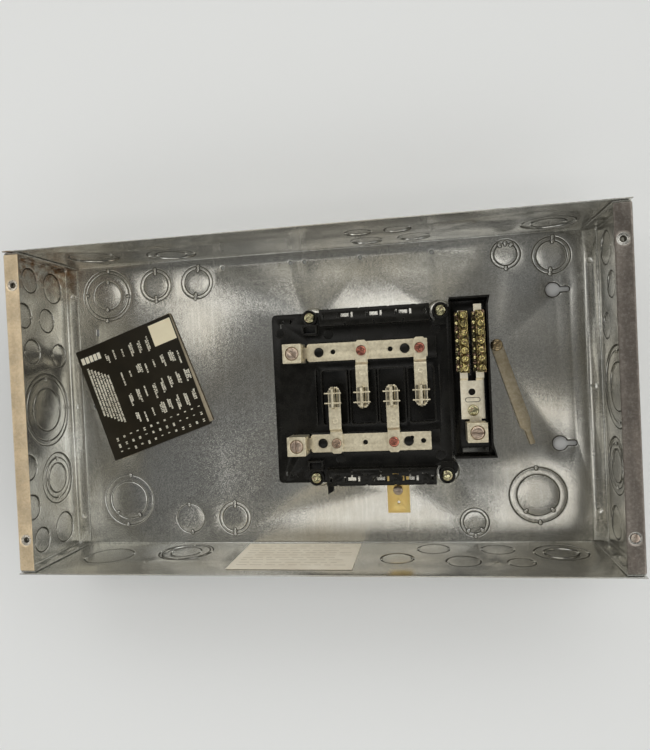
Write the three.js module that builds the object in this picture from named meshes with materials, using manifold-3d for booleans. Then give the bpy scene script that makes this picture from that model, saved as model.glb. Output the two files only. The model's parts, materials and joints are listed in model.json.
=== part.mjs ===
// Residential load center: an open galvanised wiring box with a four-pole bus interior,
// two main lugs, a neutral assembly with two terminal bars, a bonding strap and a loose card.
//
// Millimetres. The box lies on its back: +Z comes out of its open front, +X points to the end
// that is up when it hangs on a wall, and the origin is the middle of its rear face.

import * as THREE from 'three';
import { mergeVertices } from 'three/addons/utils/BufferGeometryUtils.js';
import Module from 'manifold-3d';

const wasm = await Module();
wasm.setup();

// ---------------------------------------------------------------- driving dimensions

const GAP = 0.3;                 // left between separate pieces that rest on each other
const CUT = 1;                   // how far a cutter runs past the face it cuts
const GRID = 1 / 1024;           // corners lie on this grid, so faces meant to be level are level

// Enclosure
const LENGTH = 508;              // along X
const WIDTH = 279.4;             // along Y
const DEPTH = 95.25;             // along Z
const SHEET = 1.3;               // galvanised sheet
const FLANGE = 13.7;             // width of an end wall's flanges and of its front lip
const LIP_HOLE = { x: 246.3, y: 109.8, r: 2.5 };
const DIMPLE = { r: 4.9, outer: 5.8, depth: 1.25 };
const KEYHOLES = [[214, 86.5], [215, -50]];
const KEYHOLE = { r: 7, slot: 5.8, reach: 12 };
const ROW_HOLES = { xs: [-89, -22, -8.5, 44.4, 110], y: 128, r: 2.3 };
const END_HOLE = { x: -227, y: 0, r: 3 };
const END_SLOT = { x: -221.5, y: 73, length: 7, width: 2.4 };
const PAD = { foot: 12, top: 9.5, height: 5.7 };   // raised pads that carry the interior

// Interior
const INTERIOR_X = 57.4;         // middle of the four pole positions
const POLE_PITCH = 25.4;         // one breaker width
const POLES = [-1.5, -0.5, 0.5, 1.5].map((step) => INTERIOR_X + step * POLE_PITCH);
const BASE = { left: -37.3, railLeft: 9.5, railRight: 105.3, right: 119.8 };
const BASE_HALF = { plate: 77.1, rail: 78.1, end: 64 };
const BASE_Z = { skirt: 8, skin: 20.5, floor: 23, rib: 34, rail: 38 };
const BASE_WALL = 2.2;
const BASE_CORNER = 4;           // radius of the plate's outer corners
const PLATE_HOLES = [[-29.3, 66.5], [-19.6, 70], [-26.8, 69.7], [-30, -68.7], [-19.7, -70.4], [-25, -69.5]];
const PLATE_HOLE = { width: 1.8, length: 4 };
const RAIL_INNER = 63.5;         // |y| of a rail's inner face
const RAIL_WINDOW = { y: 72.2, length: 7.2, width: 3.2, tooth: 1.6, toothTop: 68.6 };
const RAIL_SLOT = { offset: 6.2, length: 1.8, width: 4.6 };
const RAIL_SIDE_WINDOW = { length: 14.6, top: 31 };
const RAIL_NOTCH = { width: 1.8, inner: 3, outer: 1.4, depth: 4 };
const HOOK_SLOT = { y: 68.4, length: 5, width: 1 };
const SEAT = { inner: 31.5, outer: 50, right: 109.8 };   // the ledge under each bus bar
const WELL = { halfX: 12, halfY: 24.9, wall: 1.1, corner: 3 };
const FRAME_RIB = { left: 1.9, right: 111.6, thick: 0.9 };
const EARS = [-1.4, 114.7].flatMap((x) => [[x, 72.2], [x, -72.2]]);
const EAR = {
  r: 7, top: 26.7, foot: 7.3, hole: 2.3, rim: 1.7, recess: 5.6, neck: 5, neckFoot: 9, inward: 60,
};
const POCKET = { low: 56.4, high: 65.6, half: 7, wall: 1.6, top: 31, bottom: 24 };
const LOBE = { x: 117, y: -66, r: 7.5, bottom: 10 };
const HOOK = { left: 7.5, right: 12.7, root: -76, heel: -85.5, point: -88.5, bottom: 17, top: 22 };

// Current-carrying parts
const BUS = { left: -4.2, right: 102.3, y: 40.65, width: 16.1, bottom: 29, top: 32, corner: 1.5 };
const LOBE_HOLE = { offset: 3, r: 1.6 };   // a notch beside one peg hole of the second bar
const TANG = { width: 10, length: 18.1 };
const PEG = { r: 3.7, top: 33.5, hole: 4.1, xs: [POLES[0] - POLE_PITCH / 2, POLES[2] + POLE_PITCH / 2] };
const TAPPED_R = 2.2;
const STRAP = { width: 10.8, thick: 1.6, rise: 3.7, outer: 49.9, rampOuter: 30.2, rampInner: 27.6,
  lean: 0.4, corner: 2.2 };
const BLADE = { length: 19.2, thick: 2, top: 49.5, corner: 1.2, slot: 1.6, slotEnd: 1.5 };
const STAB_SCREW = { head: 4.5, crown: 3, height: 2.8, shaft: 1.9, reach: 2.6, recess: 0.5 };
const PIN = { r: 0.65, length: 14.8, y: 4.3, z: 46.3 };
const LUG = { length: 16.6, width: 17, bottom: 25.5, top: 49, window: 11.6, screw: 6, screwGap: 0.3,
  corner: 0.6, spring: 8 };
const LUG_SCREW = { length: 11, slot: 1.5, depth: 1.4, sunk: 0.1 };
const LINE_LUGS = [[-14.7, 40.3], [-14.3, -41.2]];

// Screws
const SLOT = { width: 0.14, depth: 0.4, crown: 0.88 };   // shares of a head's radius or height
const PAN_HEAD = { head: 4.8, height: 2.8, shaft: 2 };
const BONDING_SCREW = { head: 5.3, height: 3.2, shaft: 2, slotAngle: 50 };
const BRACKET_HEAD = { head: 4.4, height: 2.4, shaft: 2, slotAngle: -8 };
const COVER_SCREW = { head: 3.1, height: 1, shaft: 2, slotAngle: 40 };
const SCREW_TIP = { interior: 3.8, sheet: 0.2, neutral: 23, cover: 84.25 };   // Z of the shafts' ends

// Neutral assembly
const NEUTRAL = { left: 128.8, right: 148.8, low: -23.2, tang: 17.4, bend: 10.8, ramp: 1.8,
  lean: 0.5, thick: 2.5 };
const NEUTRAL_HOLE = { x: 138.4, y: 0, r: 3 };
const NEUTRAL_NOTCH = { left: 135.3, right: 142.2, low: 9.6 };
const NEUTRAL_LUG = { x: 140.5, y: -33.6 };
const NEUTRAL_SCREW = { x: 138.9, y: -15.8 };
const LEG_TOPS = [70, 75];
const BARS = [132.8, 146.7];     // X of the two terminal bars
const BAR = { width: 7.6, low: 16.8, high: 69.2, bottom: 35.5, top: 43.5, bore: 2.1, boreZ: 38.6 };
const BAR_LEDGE = { reach: 3.4, inset: 1, bottom: 40.9, top: 42.1 };
const BAR_SCREWS = { count: 7, pitch: 7.4, first: 20.8, headGap: 2.3, tip: 1.8, turn: 17 };
const HOLDER = { left: 122, right: 154.2, low: -56.6, high: 82, bottom: 8, floor: 14, wall: 1.8, rim: 37 };
const FLARE = { low: 3.2, lowLength: 12, high: 1.9, highLength: 8 };   // the tray widens at its right corners
const TRAY_SLOT = { left: 137.6, right: 140, spans: [[14, 34], [38, 62]] };
const TRAY_WINDOW = { left: 129.5, right: 152, low: -54.2, high: -50.2 };
const LEG_RIBS = [[130.8, 134.8], [143.2, 147.7]];   // X of the ribs under the neutral plate's legs
const LEG_RIB_LOW = 18;

// Loose and small pieces
const BOND = { x: 163.6, y: 40.1, angle: -17.3, length: 81, width: 10.6, tip: 5, tipLength: 13, thick: 1.6,
  taperLeft: 9, taperRight: 4 };
const BRACKET = { left: 60, right: 80.4, low: -110.2, high: -66, thick: 1.2 };
const PRONG = { outer: 8.4, inner: 6, y: -71, foot: 11.6, top: 34 };
const BRACKET_HOLE = { x: 70.2, y: -100.4, r: 1.4 };
const BRACKET_SCREW = { x: 69.9, y: -89.2 };
const CARD = {
  x: -175.8, y: 16.1, angle: -71.4, length: 115, width: 105, thick: 0.4, z: 3.9, backingShift: 3,
};
const LABEL = { left: -73, right: 34, low: 6, high: 82, thick: 0.3 };

// ---------------------------------------------------------------- materials

function paint(color, roughness, metalness) {
  return new THREE.MeshStandardMaterial({ color, roughness, metalness });
}

const GALVANISED = paint(0x9b9d9a, 0.42, 0.9);
const BLACK_PLASTIC = paint(0x1b1a18, 0.5, 0);
const TIN = paint(0xcfc8b4, 0.4, 0.85);
const COPPER_SCREW = paint(0xb0655a, 0.3, 0.9);
const YELLOW_ZINC = paint(0xa8935a, 0.3, 0.85);
const STEEL_SCREW = paint(0xb9a58f, 0.35, 0.9);
const BRACKET_GOLD = paint(0xe0b45e, 0.35, 0.8);
const STRAP_TIN = paint(0x9f8d6c, 0.45, 0.75);
const DARK_CARD = paint(0x2a2522, 0.6, 0);
const CREAM_CARD = paint(0xd9cdb2, 0.8, 0);
const LABEL_PAPER = paint(0xc9bda5, 0.8, 0);

// ---------------------------------------------------------------- shape helpers

/** A closed three.js geometry as a manifold solid. */
function solid(geometry) {
  const bare = geometry.index ? geometry.toNonIndexed() : geometry.clone();
  bare.deleteAttribute('normal');
  bare.deleteAttribute('uv');
  const corners = bare.attributes.position.array;
  corners.forEach((value, index) => { corners[index] = Math.round(value / GRID) * GRID; });
  const merged = mergeVertices(bare, GRID / 2);
  return new wasm.Manifold(new wasm.Mesh({
    numProp: 3,
    vertProperties: merged.attributes.position.array,
    triVerts: new Uint32Array(merged.index.array),
  }));
}

function geometryOf(manifold) {
  const { vertProperties, triVerts } = manifold.getMesh();
  const geometry = new THREE.BufferGeometry();
  geometry.setAttribute('position', new THREE.BufferAttribute(new Float32Array(vertProperties), 3));
  geometry.setIndex(new THREE.BufferAttribute(new Uint32Array(triVerts), 1));
  geometry.computeVertexNormals();
  return geometry;
}

/** A box from its low and high value on each axis. */
function box([x0, x1], [y0, y1], [z0, z1]) {
  const geometry = new THREE.BoxGeometry(x1 - x0, y1 - y0, z1 - z0);
  geometry.translate((x0 + x1) / 2, (y0 + y1) / 2, (z0 + z1) / 2);
  return solid(geometry);
}

/** A round bar or cone along Z, from z0 (radius r0) to z1 (radius r1). */
function round(x, y, z0, z1, r0, r1 = r0, sides = 16) {
  const geometry = new THREE.CylinderGeometry(r1, r0, z1 - z0, sides);
  geometry.rotateX(Math.PI / 2);
  geometry.translate(x, y, (z0 + z1) / 2);
  return solid(geometry);
}

/** A round bar along X or Y, centred on (x, y, z). */
function crossBar(axis, [x, y, z], length, r, sides = 10) {
  const geometry = new THREE.CylinderGeometry(r, r, length, sides);
  if (axis === 'x') geometry.rotateZ(Math.PI / 2);
  geometry.translate(x, y, z);
  return solid(geometry);
}

/** A flat outline in XY, raised from z0 to z1. */
function prism(points, z0, z1) {
  const shape = new THREE.Shape(points.map(([x, y]) => new THREE.Vector2(x, y)));
  const geometry = new THREE.ExtrudeGeometry(shape, { depth: z1 - z0, bevelEnabled: false });
  geometry.translate(0, 0, z0);
  return solid(geometry);
}

/** A side profile of [y, z] points, run along X from x0 to x1. */
function sideProfile(points, x0, x1) {
  const shape = new THREE.Shape(points.map(([y, z]) => new THREE.Vector2(y, z)));
  const geometry = new THREE.ExtrudeGeometry(shape, { depth: x1 - x0, bevelEnabled: false });
  const turn = new THREE.Matrix4().set(0, 0, 1, x0, 1, 0, 0, 0, 0, 1, 0, 0, 0, 0, 0, 1);
  geometry.applyMatrix4(turn);
  return solid(geometry);
}

/** Corner points of a rectangle whose corners are cut off by `chamfer`. */
function chamfered(x0, x1, y0, y1, chamfer) {
  return [
    [x0 + chamfer, y0], [x1 - chamfer, y0], [x1, y0 + chamfer], [x1, y1 - chamfer],
    [x1 - chamfer, y1], [x0 + chamfer, y1], [x0, y1 - chamfer], [x0, y0 + chamfer],
  ];
}

/** Corner points of a rectangle with rounded corners. */
function rounded(x0, x1, y0, y1, radius, steps = 3) {
  const corners = [[x1, y0, -90], [x1, y1, 0], [x0, y1, 90], [x0, y0, 180]];
  return corners.flatMap(([cx, cy, start]) => {
    const [mx, my] = [cx + (cx === x0 ? radius : -radius), cy + (cy === y0 ? radius : -radius)];
    return Array.from({ length: steps + 1 }, (_, step) => {
      const angle = THREE.MathUtils.degToRad(start + (90 * step) / steps);
      return [mx + radius * Math.cos(angle), my + radius * Math.sin(angle)];
    });
  });
}

/** Points turned by `degrees` about the origin and moved to (x, y). */
function turned(points, degrees, x, y) {
  const angle = THREE.MathUtils.degToRad(degrees);
  const [c, s] = [Math.cos(angle), Math.sin(angle)];
  return points.map(([u, v]) => [x + c * u - s * v, y + s * u + c * v]);
}

function union(parts) {
  return parts.reduce((whole, part) => whole.add(part));
}

function cut(whole, cutters) {
  return cutters.reduce((left, cutter) => left.subtract(cutter), whole);
}

const group = new THREE.Group();

function place(name, manifold, material) {
  const mesh = new THREE.Mesh(geometryOf(manifold), material);
  mesh.name = name;
  group.add(mesh);
}

/** Corner points of a screwdriver slot. */
function slotOutline(halfLength, halfWidth) {
  return [
    [-halfLength, -halfWidth], [halfLength, -halfWidth], [halfLength, halfWidth], [-halfLength, halfWidth],
  ];
}

/** A screw: slotted head resting above `seat`, shaft down to `tip`. */
function slottedScrew(x, y, seat, tip, { head, height, shaft, slotAngle = 0, sides = 16 }) {
  const bottom = seat + GAP;
  const top = bottom + height;
  const slot = turned(slotOutline(head + CUT, head * SLOT.width), slotAngle, x, y);
  const body = round(x, y, bottom, top, head, head * SLOT.crown, sides);
  return cut(body.add(round(x, y, tip, bottom + GAP / 2, shaft, shaft, 8)),
    [prism(slot, top - height * SLOT.depth, top + CUT)]);
}

// ---------------------------------------------------------------- enclosure

/** The wrapper: rear wall and the two long walls, bent from one sheet. */
function enclosureBody() {
  const x = [-LENGTH / 2, LENGTH / 2];
  const half = WIDTH / 2;
  const parts = [
    box(x, [-half, half], [0, SHEET]),
    box(x, [half - SHEET, half], [0, DEPTH]),
    box(x, [-half, SHEET - half], [0, DEPTH]),
  ];
  const cutters = [];
  for (const [px, py] of EARS) {
    const crown = SHEET + PAD.height;
    parts.push(round(px, py, SHEET / 4, crown, PAD.foot, PAD.top, 20));
    cutters.push(round(px, py, -CUT, crown - SHEET, PAD.foot - SHEET, PAD.top - SHEET, 20));
    cutters.push(round(px, py, -CUT, crown + CUT, EAR.hole, EAR.hole, 10));
  }
  for (const [kx, ky] of KEYHOLES) {
    const r = KEYHOLE.slot / 2;
    cutters.push(round(kx, ky, -CUT, SHEET + CUT, KEYHOLE.r, KEYHOLE.r, 24));
    cutters.push(box([kx, kx + KEYHOLE.reach], [ky - r, ky + r], [-CUT, SHEET + CUT]));
    cutters.push(round(kx + KEYHOLE.reach, ky, -CUT, SHEET + CUT, r, r, 12));
  }
  for (const hx of ROW_HOLES.xs) {
    cutters.push(round(hx, ROW_HOLES.y, -CUT, SHEET + CUT, ROW_HOLES.r, ROW_HOLES.r, 12));
  }
  cutters.push(round(END_HOLE.x, END_HOLE.y, -CUT, SHEET + CUT, END_HOLE.r, END_HOLE.r, 12));
  cutters.push(box(
    [END_SLOT.x - END_SLOT.width / 2, END_SLOT.x + END_SLOT.width / 2],
    [END_SLOT.y - END_SLOT.length / 2, END_SLOT.y + END_SLOT.length / 2], [-CUT, SHEET + CUT]));
  for (const [sx, sy] of [[BOND.x, BOND.y], [BRACKET_SCREW.x, BRACKET_SCREW.y]]) {
    cutters.push(round(sx, sy, -CUT, SHEET + CUT, EAR.hole, EAR.hole, 10));
  }
  return cut(union(parts), cutters);
}

/** An end wall: a tray whose flanges lie inside the wrapper, with a front lip. */
function endWall(side) {
  const outer = LENGTH / 2 - GAP;
  const inner = outer - FLANGE;
  const low = SHEET + GAP;
  const half = WIDTH / 2 - SHEET - GAP;
  const span = (a, b) => (side > 0 ? [a, b] : [-b, -a]);
  const parts = [
    box(span(outer - SHEET, outer), [-half, half], [low, DEPTH]),
    box(span(inner, outer), [-half, half], [low, low + SHEET]),
    box(span(inner, outer), [half - SHEET, half], [low, DEPTH]),
    box(span(inner, outer), [-half, SHEET - half], [low, DEPTH]),
    box(span(inner, outer), [-half, half], [DEPTH - SHEET, DEPTH]),
  ];
  const cutters = [];
  for (const y of [LIP_HOLE.y, -LIP_HOLE.y]) {
    const x = side * LIP_HOLE.x;
    const dishFloor = DEPTH - DIMPLE.depth;
    parts.push(round(x, y, dishFloor - SHEET, DEPTH - SHEET / 2, DIMPLE.outer));
    cutters.push(round(x, y, dishFloor, DEPTH + CUT, DIMPLE.r));
    cutters.push(round(x, y, dishFloor - SHEET - CUT, DEPTH, LIP_HOLE.r, LIP_HOLE.r, 12));
  }
  return cut(union(parts), cutters);
}

// ---------------------------------------------------------------- interior base

/** A box centred on (x, y), cut down from `top` by `depth`. */
function pit(x, y, length, width, top, depth) {
  return box([x - length / 2, x + length / 2], [y - width / 2, y + width / 2], [top - depth, top + CUT]);
}

/** Slots, windows and notches that breaker feet hook into, cut in one rail's top. */
function railCutters(side) {
  const through = BASE_WALL + CUT;
  const [wallInner, wallOuter] = [BASE_HALF.rail - BASE_WALL - CUT, BASE_HALF.rail + CUT];
  const gaps = POLES.slice(0, -1).map((pole) => pole + POLE_PITCH / 2);
  const cutters = [];
  for (const x of gaps) {
    const windowY = side * RAIL_WINDOW.y;
    cutters.push(pit(x, windowY, RAIL_WINDOW.length, RAIL_WINDOW.width, BASE_Z.rail, through));
    cutters.push(pit(x - RAIL_SLOT.offset, windowY, RAIL_SLOT.length, RAIL_SLOT.width, BASE_Z.rail, through));
    cutters.push(pit(x + RAIL_SLOT.offset, windowY, RAIL_SLOT.length, RAIL_SLOT.width, BASE_Z.rail, through));
    cutters.push(pit(x, side * RAIL_INNER, RAIL_NOTCH.width, 2 * RAIL_NOTCH.inner, BASE_Z.rail,
      RAIL_NOTCH.depth));
    cutters.push(box([x - RAIL_SIDE_WINDOW.length / 2, x + RAIL_SIDE_WINDOW.length / 2],
      side > 0 ? [wallInner, wallOuter] : [-wallOuter, -wallInner],
      [BASE_Z.skirt - CUT, RAIL_SIDE_WINDOW.top]));
    if (side < 0) {
      const toothY = -(RAIL_WINDOW.y + RAIL_WINDOW.toothTop) / 2;
      const reach = RAIL_WINDOW.y - RAIL_WINDOW.toothTop;
      cutters.push(pit(x, toothY, RAIL_WINDOW.tooth, reach, BASE_Z.rail, through));
    }
  }
  for (const x of [POLES[0] - RAIL_SLOT.offset, POLES[POLES.length - 1] + RAIL_SLOT.offset]) {
    cutters.push(pit(x, side * RAIL_WINDOW.y, RAIL_SLOT.length, RAIL_SLOT.width, BASE_Z.rail, through));
  }
  for (const x of POLES) {
    cutters.push(pit(x, side * BASE_HALF.rail, RAIL_NOTCH.width, 2 * RAIL_NOTCH.outer, BASE_Z.rail,
      RAIL_NOTCH.depth));
    if (side < 0) {
      cutters.push(pit(x, -HOOK_SLOT.y, HOOK_SLOT.length, HOOK_SLOT.width, BASE_Z.rail, through));
    }
  }
  return cutters;
}

/** A rounded rectangular wall round one stab. */
function well(x) {
  const { halfX, halfY, wall, corner } = WELL;
  const outer = rounded(x - halfX, x + halfX, -halfY, halfY, corner);
  const inner = rounded(x - halfX + wall, x + halfX - wall, wall - halfY, halfY - wall, corner - wall);
  return prism(outer, BASE_Z.skin + BASE_WALL / 4, BASE_Z.rib)
    .subtract(prism(inner, BASE_Z.skin, BASE_Z.rib + CUT));
}

/** The plate: three stretches of different width, hollow below, with rounded outer corners. */
function basePlate() {
  const { left, railLeft, railRight, right } = BASE;
  const { plate, rail, end } = BASE_HALF;
  const z = [BASE_Z.skirt, BASE_Z.floor];
  const outer = [
    prism(rounded(left, railLeft + 2 * BASE_CORNER, -plate, plate, BASE_CORNER), ...z),
    box([railLeft, railRight], [-rail, rail], z),
    prism(rounded(railRight - 2 * BASE_CORNER, right, -end, end, BASE_CORNER), ...z),
  ];
  const hollowZ = [BASE_Z.skirt - CUT, BASE_Z.skin];
  const hollow = [
    box([left + BASE_WALL, railLeft + BASE_WALL + CUT], [BASE_WALL - plate, plate - BASE_WALL], hollowZ),
    box([railLeft + BASE_WALL, railRight - BASE_WALL], [BASE_WALL - rail, rail - BASE_WALL], hollowZ),
    box([railRight - BASE_WALL - CUT, right - BASE_WALL], [BASE_WALL - end, end - BASE_WALL], hollowZ),
  ];
  return cut(union(outer), hollow);
}

/** One hollow breaker rail. */
function baseRail(side) {
  const between = (a, b) => (side > 0 ? [a, b] : [-b, -a]);
  const body = box([BASE.railLeft, BASE.railRight], between(RAIL_INNER, BASE_HALF.rail),
    [BASE_Z.skin, BASE_Z.rail]);
  const hollow = box([BASE.railLeft + BASE_WALL, BASE.railRight - BASE_WALL],
    between(RAIL_INNER + BASE_WALL, BASE_HALF.rail - BASE_WALL), [BASE_Z.skirt, BASE_Z.rail - BASE_WALL]);
  return { body, hollow };
}

/** A screw ear: a round boss with a rim round the screw head, joined to the plate by a neck. */
function ear(x, y) {
  const inward = Math.sign(y) * EAR.inward;
  const boss = round(x, y, EAR.foot, EAR.top + EAR.rim, EAR.r, EAR.r, 24);
  const neck = box([x - EAR.neck, x + EAR.neck], [Math.min(y, inward), Math.max(y, inward)],
    [EAR.neckFoot, EAR.top]);
  const recess = round(x, y, EAR.top, EAR.top + EAR.rim + CUT, EAR.recess, EAR.recess, 24);
  return boss.add(neck).subtract(recess);
}

/** The walled pocket beside an ear at the lug end. */
function pocket(x, side) {
  const { low, high, half, wall, top, bottom } = POCKET;
  const between = (a, b) => (side > 0 ? [a, b] : [-b, -a]);
  return box([x - half, x + half], between(low, high), [BASE_Z.skin + BASE_WALL / 4, top])
    .subtract(box([x - half + wall, x + half - wall], between(low + wall, high - wall), [bottom, top + CUT]));
}

/** The moulded base: plate, two breaker rails, bus ledges, wells, pockets and screw ears. */
function interiorBase() {
  const { body: railA, hollow: hollowA } = baseRail(1);
  const { body: railB, hollow: hollowB } = baseRail(-1);
  const shell = cut(union([basePlate(), railA, railB]), [hollowA, hollowB]);
  const onTop = POLES.map((x) => well(x));
  const cutters = [...railCutters(1), ...railCutters(-1)];
  const foot = BASE_Z.skin + BASE_WALL / 4;
  for (const x of [FRAME_RIB.left, FRAME_RIB.right]) {
    onTop.push(box([x - FRAME_RIB.thick / 2, x + FRAME_RIB.thick / 2], [-WELL.halfY, WELL.halfY],
      [foot, BUS.bottom - GAP]));
  }
  for (const side of [1, -1]) {
    const ledge = side > 0 ? [SEAT.inner, SEAT.outer] : [-SEAT.outer, -SEAT.inner];
    onTop.push(box([BUS.left + GAP, SEAT.right], ledge, [foot, BUS.bottom - GAP]));
    for (const x of PEG.xs) {
      onTop.push(round(x, side * BUS.y, foot, PEG.top, PEG.r));
    }
    onTop.push(pocket(EARS[0][0], side));
  }
  for (const [x, y] of EARS) {
    onTop.push(ear(x, y));
    cutters.push(round(x, y, -CUT, EAR.top + CUT, EAR.hole, EAR.hole, 10));
  }
  for (const [x, y] of PLATE_HOLES) {
    cutters.push(pit(x, y, PLATE_HOLE.width, PLATE_HOLE.length, BASE_Z.floor, BASE_WALL + 2 * CUT));
  }
  onTop.push(round(LOBE.x, LOBE.y, LOBE.bottom, BASE_Z.floor, LOBE.r, LOBE.r, 24));
  const { left, right, root, heel, point, bottom, top } = HOOK;
  const claw = [
    [left, root], [left, point], [(left + right) / 2, (heel + point) / 2], [right, heel], [right, root],
  ];
  onTop.push(prism(claw, bottom, top));
  return cut(union([shell, ...onTop]), cutters);
}

// ---------------------------------------------------------------- bus bars and stabs

/** A bus bar: a flat bar with four tapped pole holes, two peg holes and a tang for its lug. */
function busBar(side) {
  const half = BUS.width / 2;
  const tang = TANG.width / 2;
  const y = side * BUS.y;
  const outline = [
    [BUS.left - TANG.length, -tang], [BUS.left, -tang], [BUS.left, BUS.corner - half],
    [BUS.left + BUS.corner, -half], [BUS.right, -half], [BUS.right, half], [BUS.left + BUS.corner, half],
    [BUS.left, half - BUS.corner], [BUS.left, tang], [BUS.left - TANG.length, tang],
  ];
  const bar = prism(outline, BUS.bottom, BUS.top).translate([0, y, 0]);
  const z = [BUS.bottom - CUT, BUS.top + CUT];
  const cutters = [
    ...POLES.map((x) => round(x, y, ...z, TAPPED_R, TAPPED_R, 12)),
    ...PEG.xs.map((x) => round(x, y, ...z, PEG.hole, PEG.hole, 20)),
  ];
  if (side < 0) {
    const [lobeX, lobeY] = [PEG.xs[1] + LOBE_HOLE.offset, y + LOBE_HOLE.offset];
    cutters.push(round(lobeX, lobeY, ...z, LOBE_HOLE.r, LOBE_HOLE.r, 12));
  }
  return cut(bar, cutters);
}

/** A branch stab: a stepped strap with an upright blade, crossed by two pins. */
function branchStab(poleX, side) {
  const low = BUS.top + GAP;
  const end = -BLADE.length / 2;
  const { thick, rise, outer, rampOuter, rampInner, lean, corner } = STRAP;
  const profile = [
    [outer, low], [outer, low + thick], [rampOuter, low + thick], [rampInner, low + rise + thick],
    [end, low + rise + thick], [end, low + rise], [rampInner + lean, low + rise], [rampOuter + lean, low],
  ];
  const sided = side > 0 ? profile : profile.map(([y, z]) => [-y, z]).reverse();
  const half = STRAP.width / 2;
  const strap = sideProfile(sided, poleX - half, poleX + half);
  const plan = side > 0
    ? chamfered(poleX - half, poleX + half, end, outer, corner)
    : chamfered(poleX - half, poleX + half, -outer, -end, corner);
  const bladeFoot = low + rise + thick / 2;
  const bladeSide = chamfered(end, -end, bladeFoot, BLADE.top, BLADE.corner);
  const blade = sideProfile(bladeSide, poleX - BLADE.thick / 2, poleX + BLADE.thick / 2);
  const side0 = poleX + BLADE.thick / 2;
  const slot = box([side0, side0 + BLADE.slot], [end + BLADE.slotEnd, -end - BLADE.slotEnd],
    [low + rise - CUT, low + rise + thick + CUT]);
  const hole = round(poleX, side * BUS.y, low - CUT, low + thick + CUT, EAR.hole, EAR.hole, 12);
  const pins = [PIN.y, -PIN.y].map((y) => crossBar('x', [poleX, y, PIN.z], PIN.length, PIN.r, 8));
  return cut(strap.intersect(prism(plan, low - CUT, BLADE.top)), [slot, hole]).add(blade).add(union(pins));
}

/** The cross-recessed screw that clamps a stab to its bus bar. */
function stabScrew(poleX, side) {
  const y = side * BUS.y;
  const { head, crown, height, shaft, reach, recess } = STAB_SCREW;
  const seat = BUS.top + GAP + STRAP.thick + GAP;
  const middle = seat + height / 2;
  const cap = round(poleX, y, seat, middle, head).add(round(poleX, y, middle, seat + height, head, crown));
  const stem = round(poleX, y, BUS.bottom + GAP, seat + GAP / 2, shaft, shaft, 8);
  const z = [middle, seat + height + CUT];
  return cut(cap.add(stem), [
    box([poleX - reach, poleX + reach], [y - recess, y + recess], z),
    box([poleX - recess, poleX + recess], [y - reach, y + reach], z),
  ]);
}

// ---------------------------------------------------------------- lugs

/** A wire lug: a collar round its bar's tang, with a wireway along `axis` and a screw hole. */
function lug(x, y, axis) {
  const [sx, sy] = axis === 'x' ? [LUG.length, LUG.width] : [LUG.width, LUG.length];
  const halfWindow = LUG.window / 2;
  const archZ = BUS.bottom - GAP + LUG.spring;
  const outline = chamfered(x - sx / 2, x + sx / 2, y - sy / 2, y + sy / 2, LUG.corner);
  const block = prism(outline, LUG.bottom, LUG.top);
  const along = axis === 'x' ? [x - sx, x + sx] : [x - halfWindow, x + halfWindow];
  const across = axis === 'x' ? [y - halfWindow, y + halfWindow] : [y - sy, y + sy];
  return cut(block, [
    box(along, across, [BUS.bottom - GAP, archZ]),
    crossBar(axis, [x, y, archZ], 2 * LUG.length, halfWindow, 20),
    round(x, y, archZ, LUG.top + CUT, LUG.screw, LUG.screw, 24),
  ]);
}

function lugScrew(x, y, slotAngle) {
  const r = LUG.screw - LUG.screwGap;
  const slot = slotOutline(r * 1.1, LUG_SCREW.slot / 2);
  const body = round(x, y, LUG.top - LUG_SCREW.length, LUG.top - LUG_SCREW.sunk, r, r, 24);
  return cut(body, [prism(turned(slot, slotAngle, x, y), LUG.top - LUG_SCREW.depth, LUG.top + CUT)]);
}

// ---------------------------------------------------------------- neutral assembly

/** The tray's outline, drawn in by `inset`. */
function trayOutline(inset) {
  const { left, right, low, high } = HOLDER;
  return [
    [left + inset, low + inset], [right + FLARE.low - inset, low + inset],
    [right - inset, low + FLARE.lowLength], [right - inset, high - FLARE.highLength],
    [right + FLARE.high - inset, high - inset], [left + inset, high - inset],
  ];
}

/** The moulded tray that carries the neutral parts. */
function neutralHolder() {
  const { left, low, high, bottom, floor, wall, rim } = HOLDER;
  const tray = cut(prism(trayOutline(0), bottom, rim), [
    prism(trayOutline(wall), bottom - CUT, floor - wall),
    prism(trayOutline(wall), floor, rim + CUT),
    box([left - CUT, left + wall + CUT], [low + wall, high - wall], [BASE_Z.floor, rim + CUT]),
  ]);
  const foot = floor - wall / 2;
  const plateRib = box([NEUTRAL.left + CUT, NEUTRAL.right - CUT],
    [NEUTRAL.low + 2 * CUT, NEUTRAL.bend - 4 * CUT], [foot, BUS.bottom - GAP]);
  const legRibs = LEG_RIBS.map((x, index) => box(x, [LEG_RIB_LOW, LEG_TOPS[index] - 2 * CUT],
    [foot, BUS.bottom + STRAP.rise - GAP]));
  const through = [bottom, floor + CUT];
  const slots = TRAY_SLOT.spans.map((y) => box([TRAY_SLOT.left, TRAY_SLOT.right], y, through));
  return cut(union([tray, plateRib, ...legRibs]), [
    ...slots,
    box([TRAY_WINDOW.left, TRAY_WINDOW.right], [TRAY_WINDOW.low, TRAY_WINDOW.high], through),
    round(NEUTRAL_SCREW.x, NEUTRAL_SCREW.y, BUS.bottom - 8 * CUT, BUS.bottom, EAR.hole, EAR.hole, 10),
  ]);
}

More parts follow.
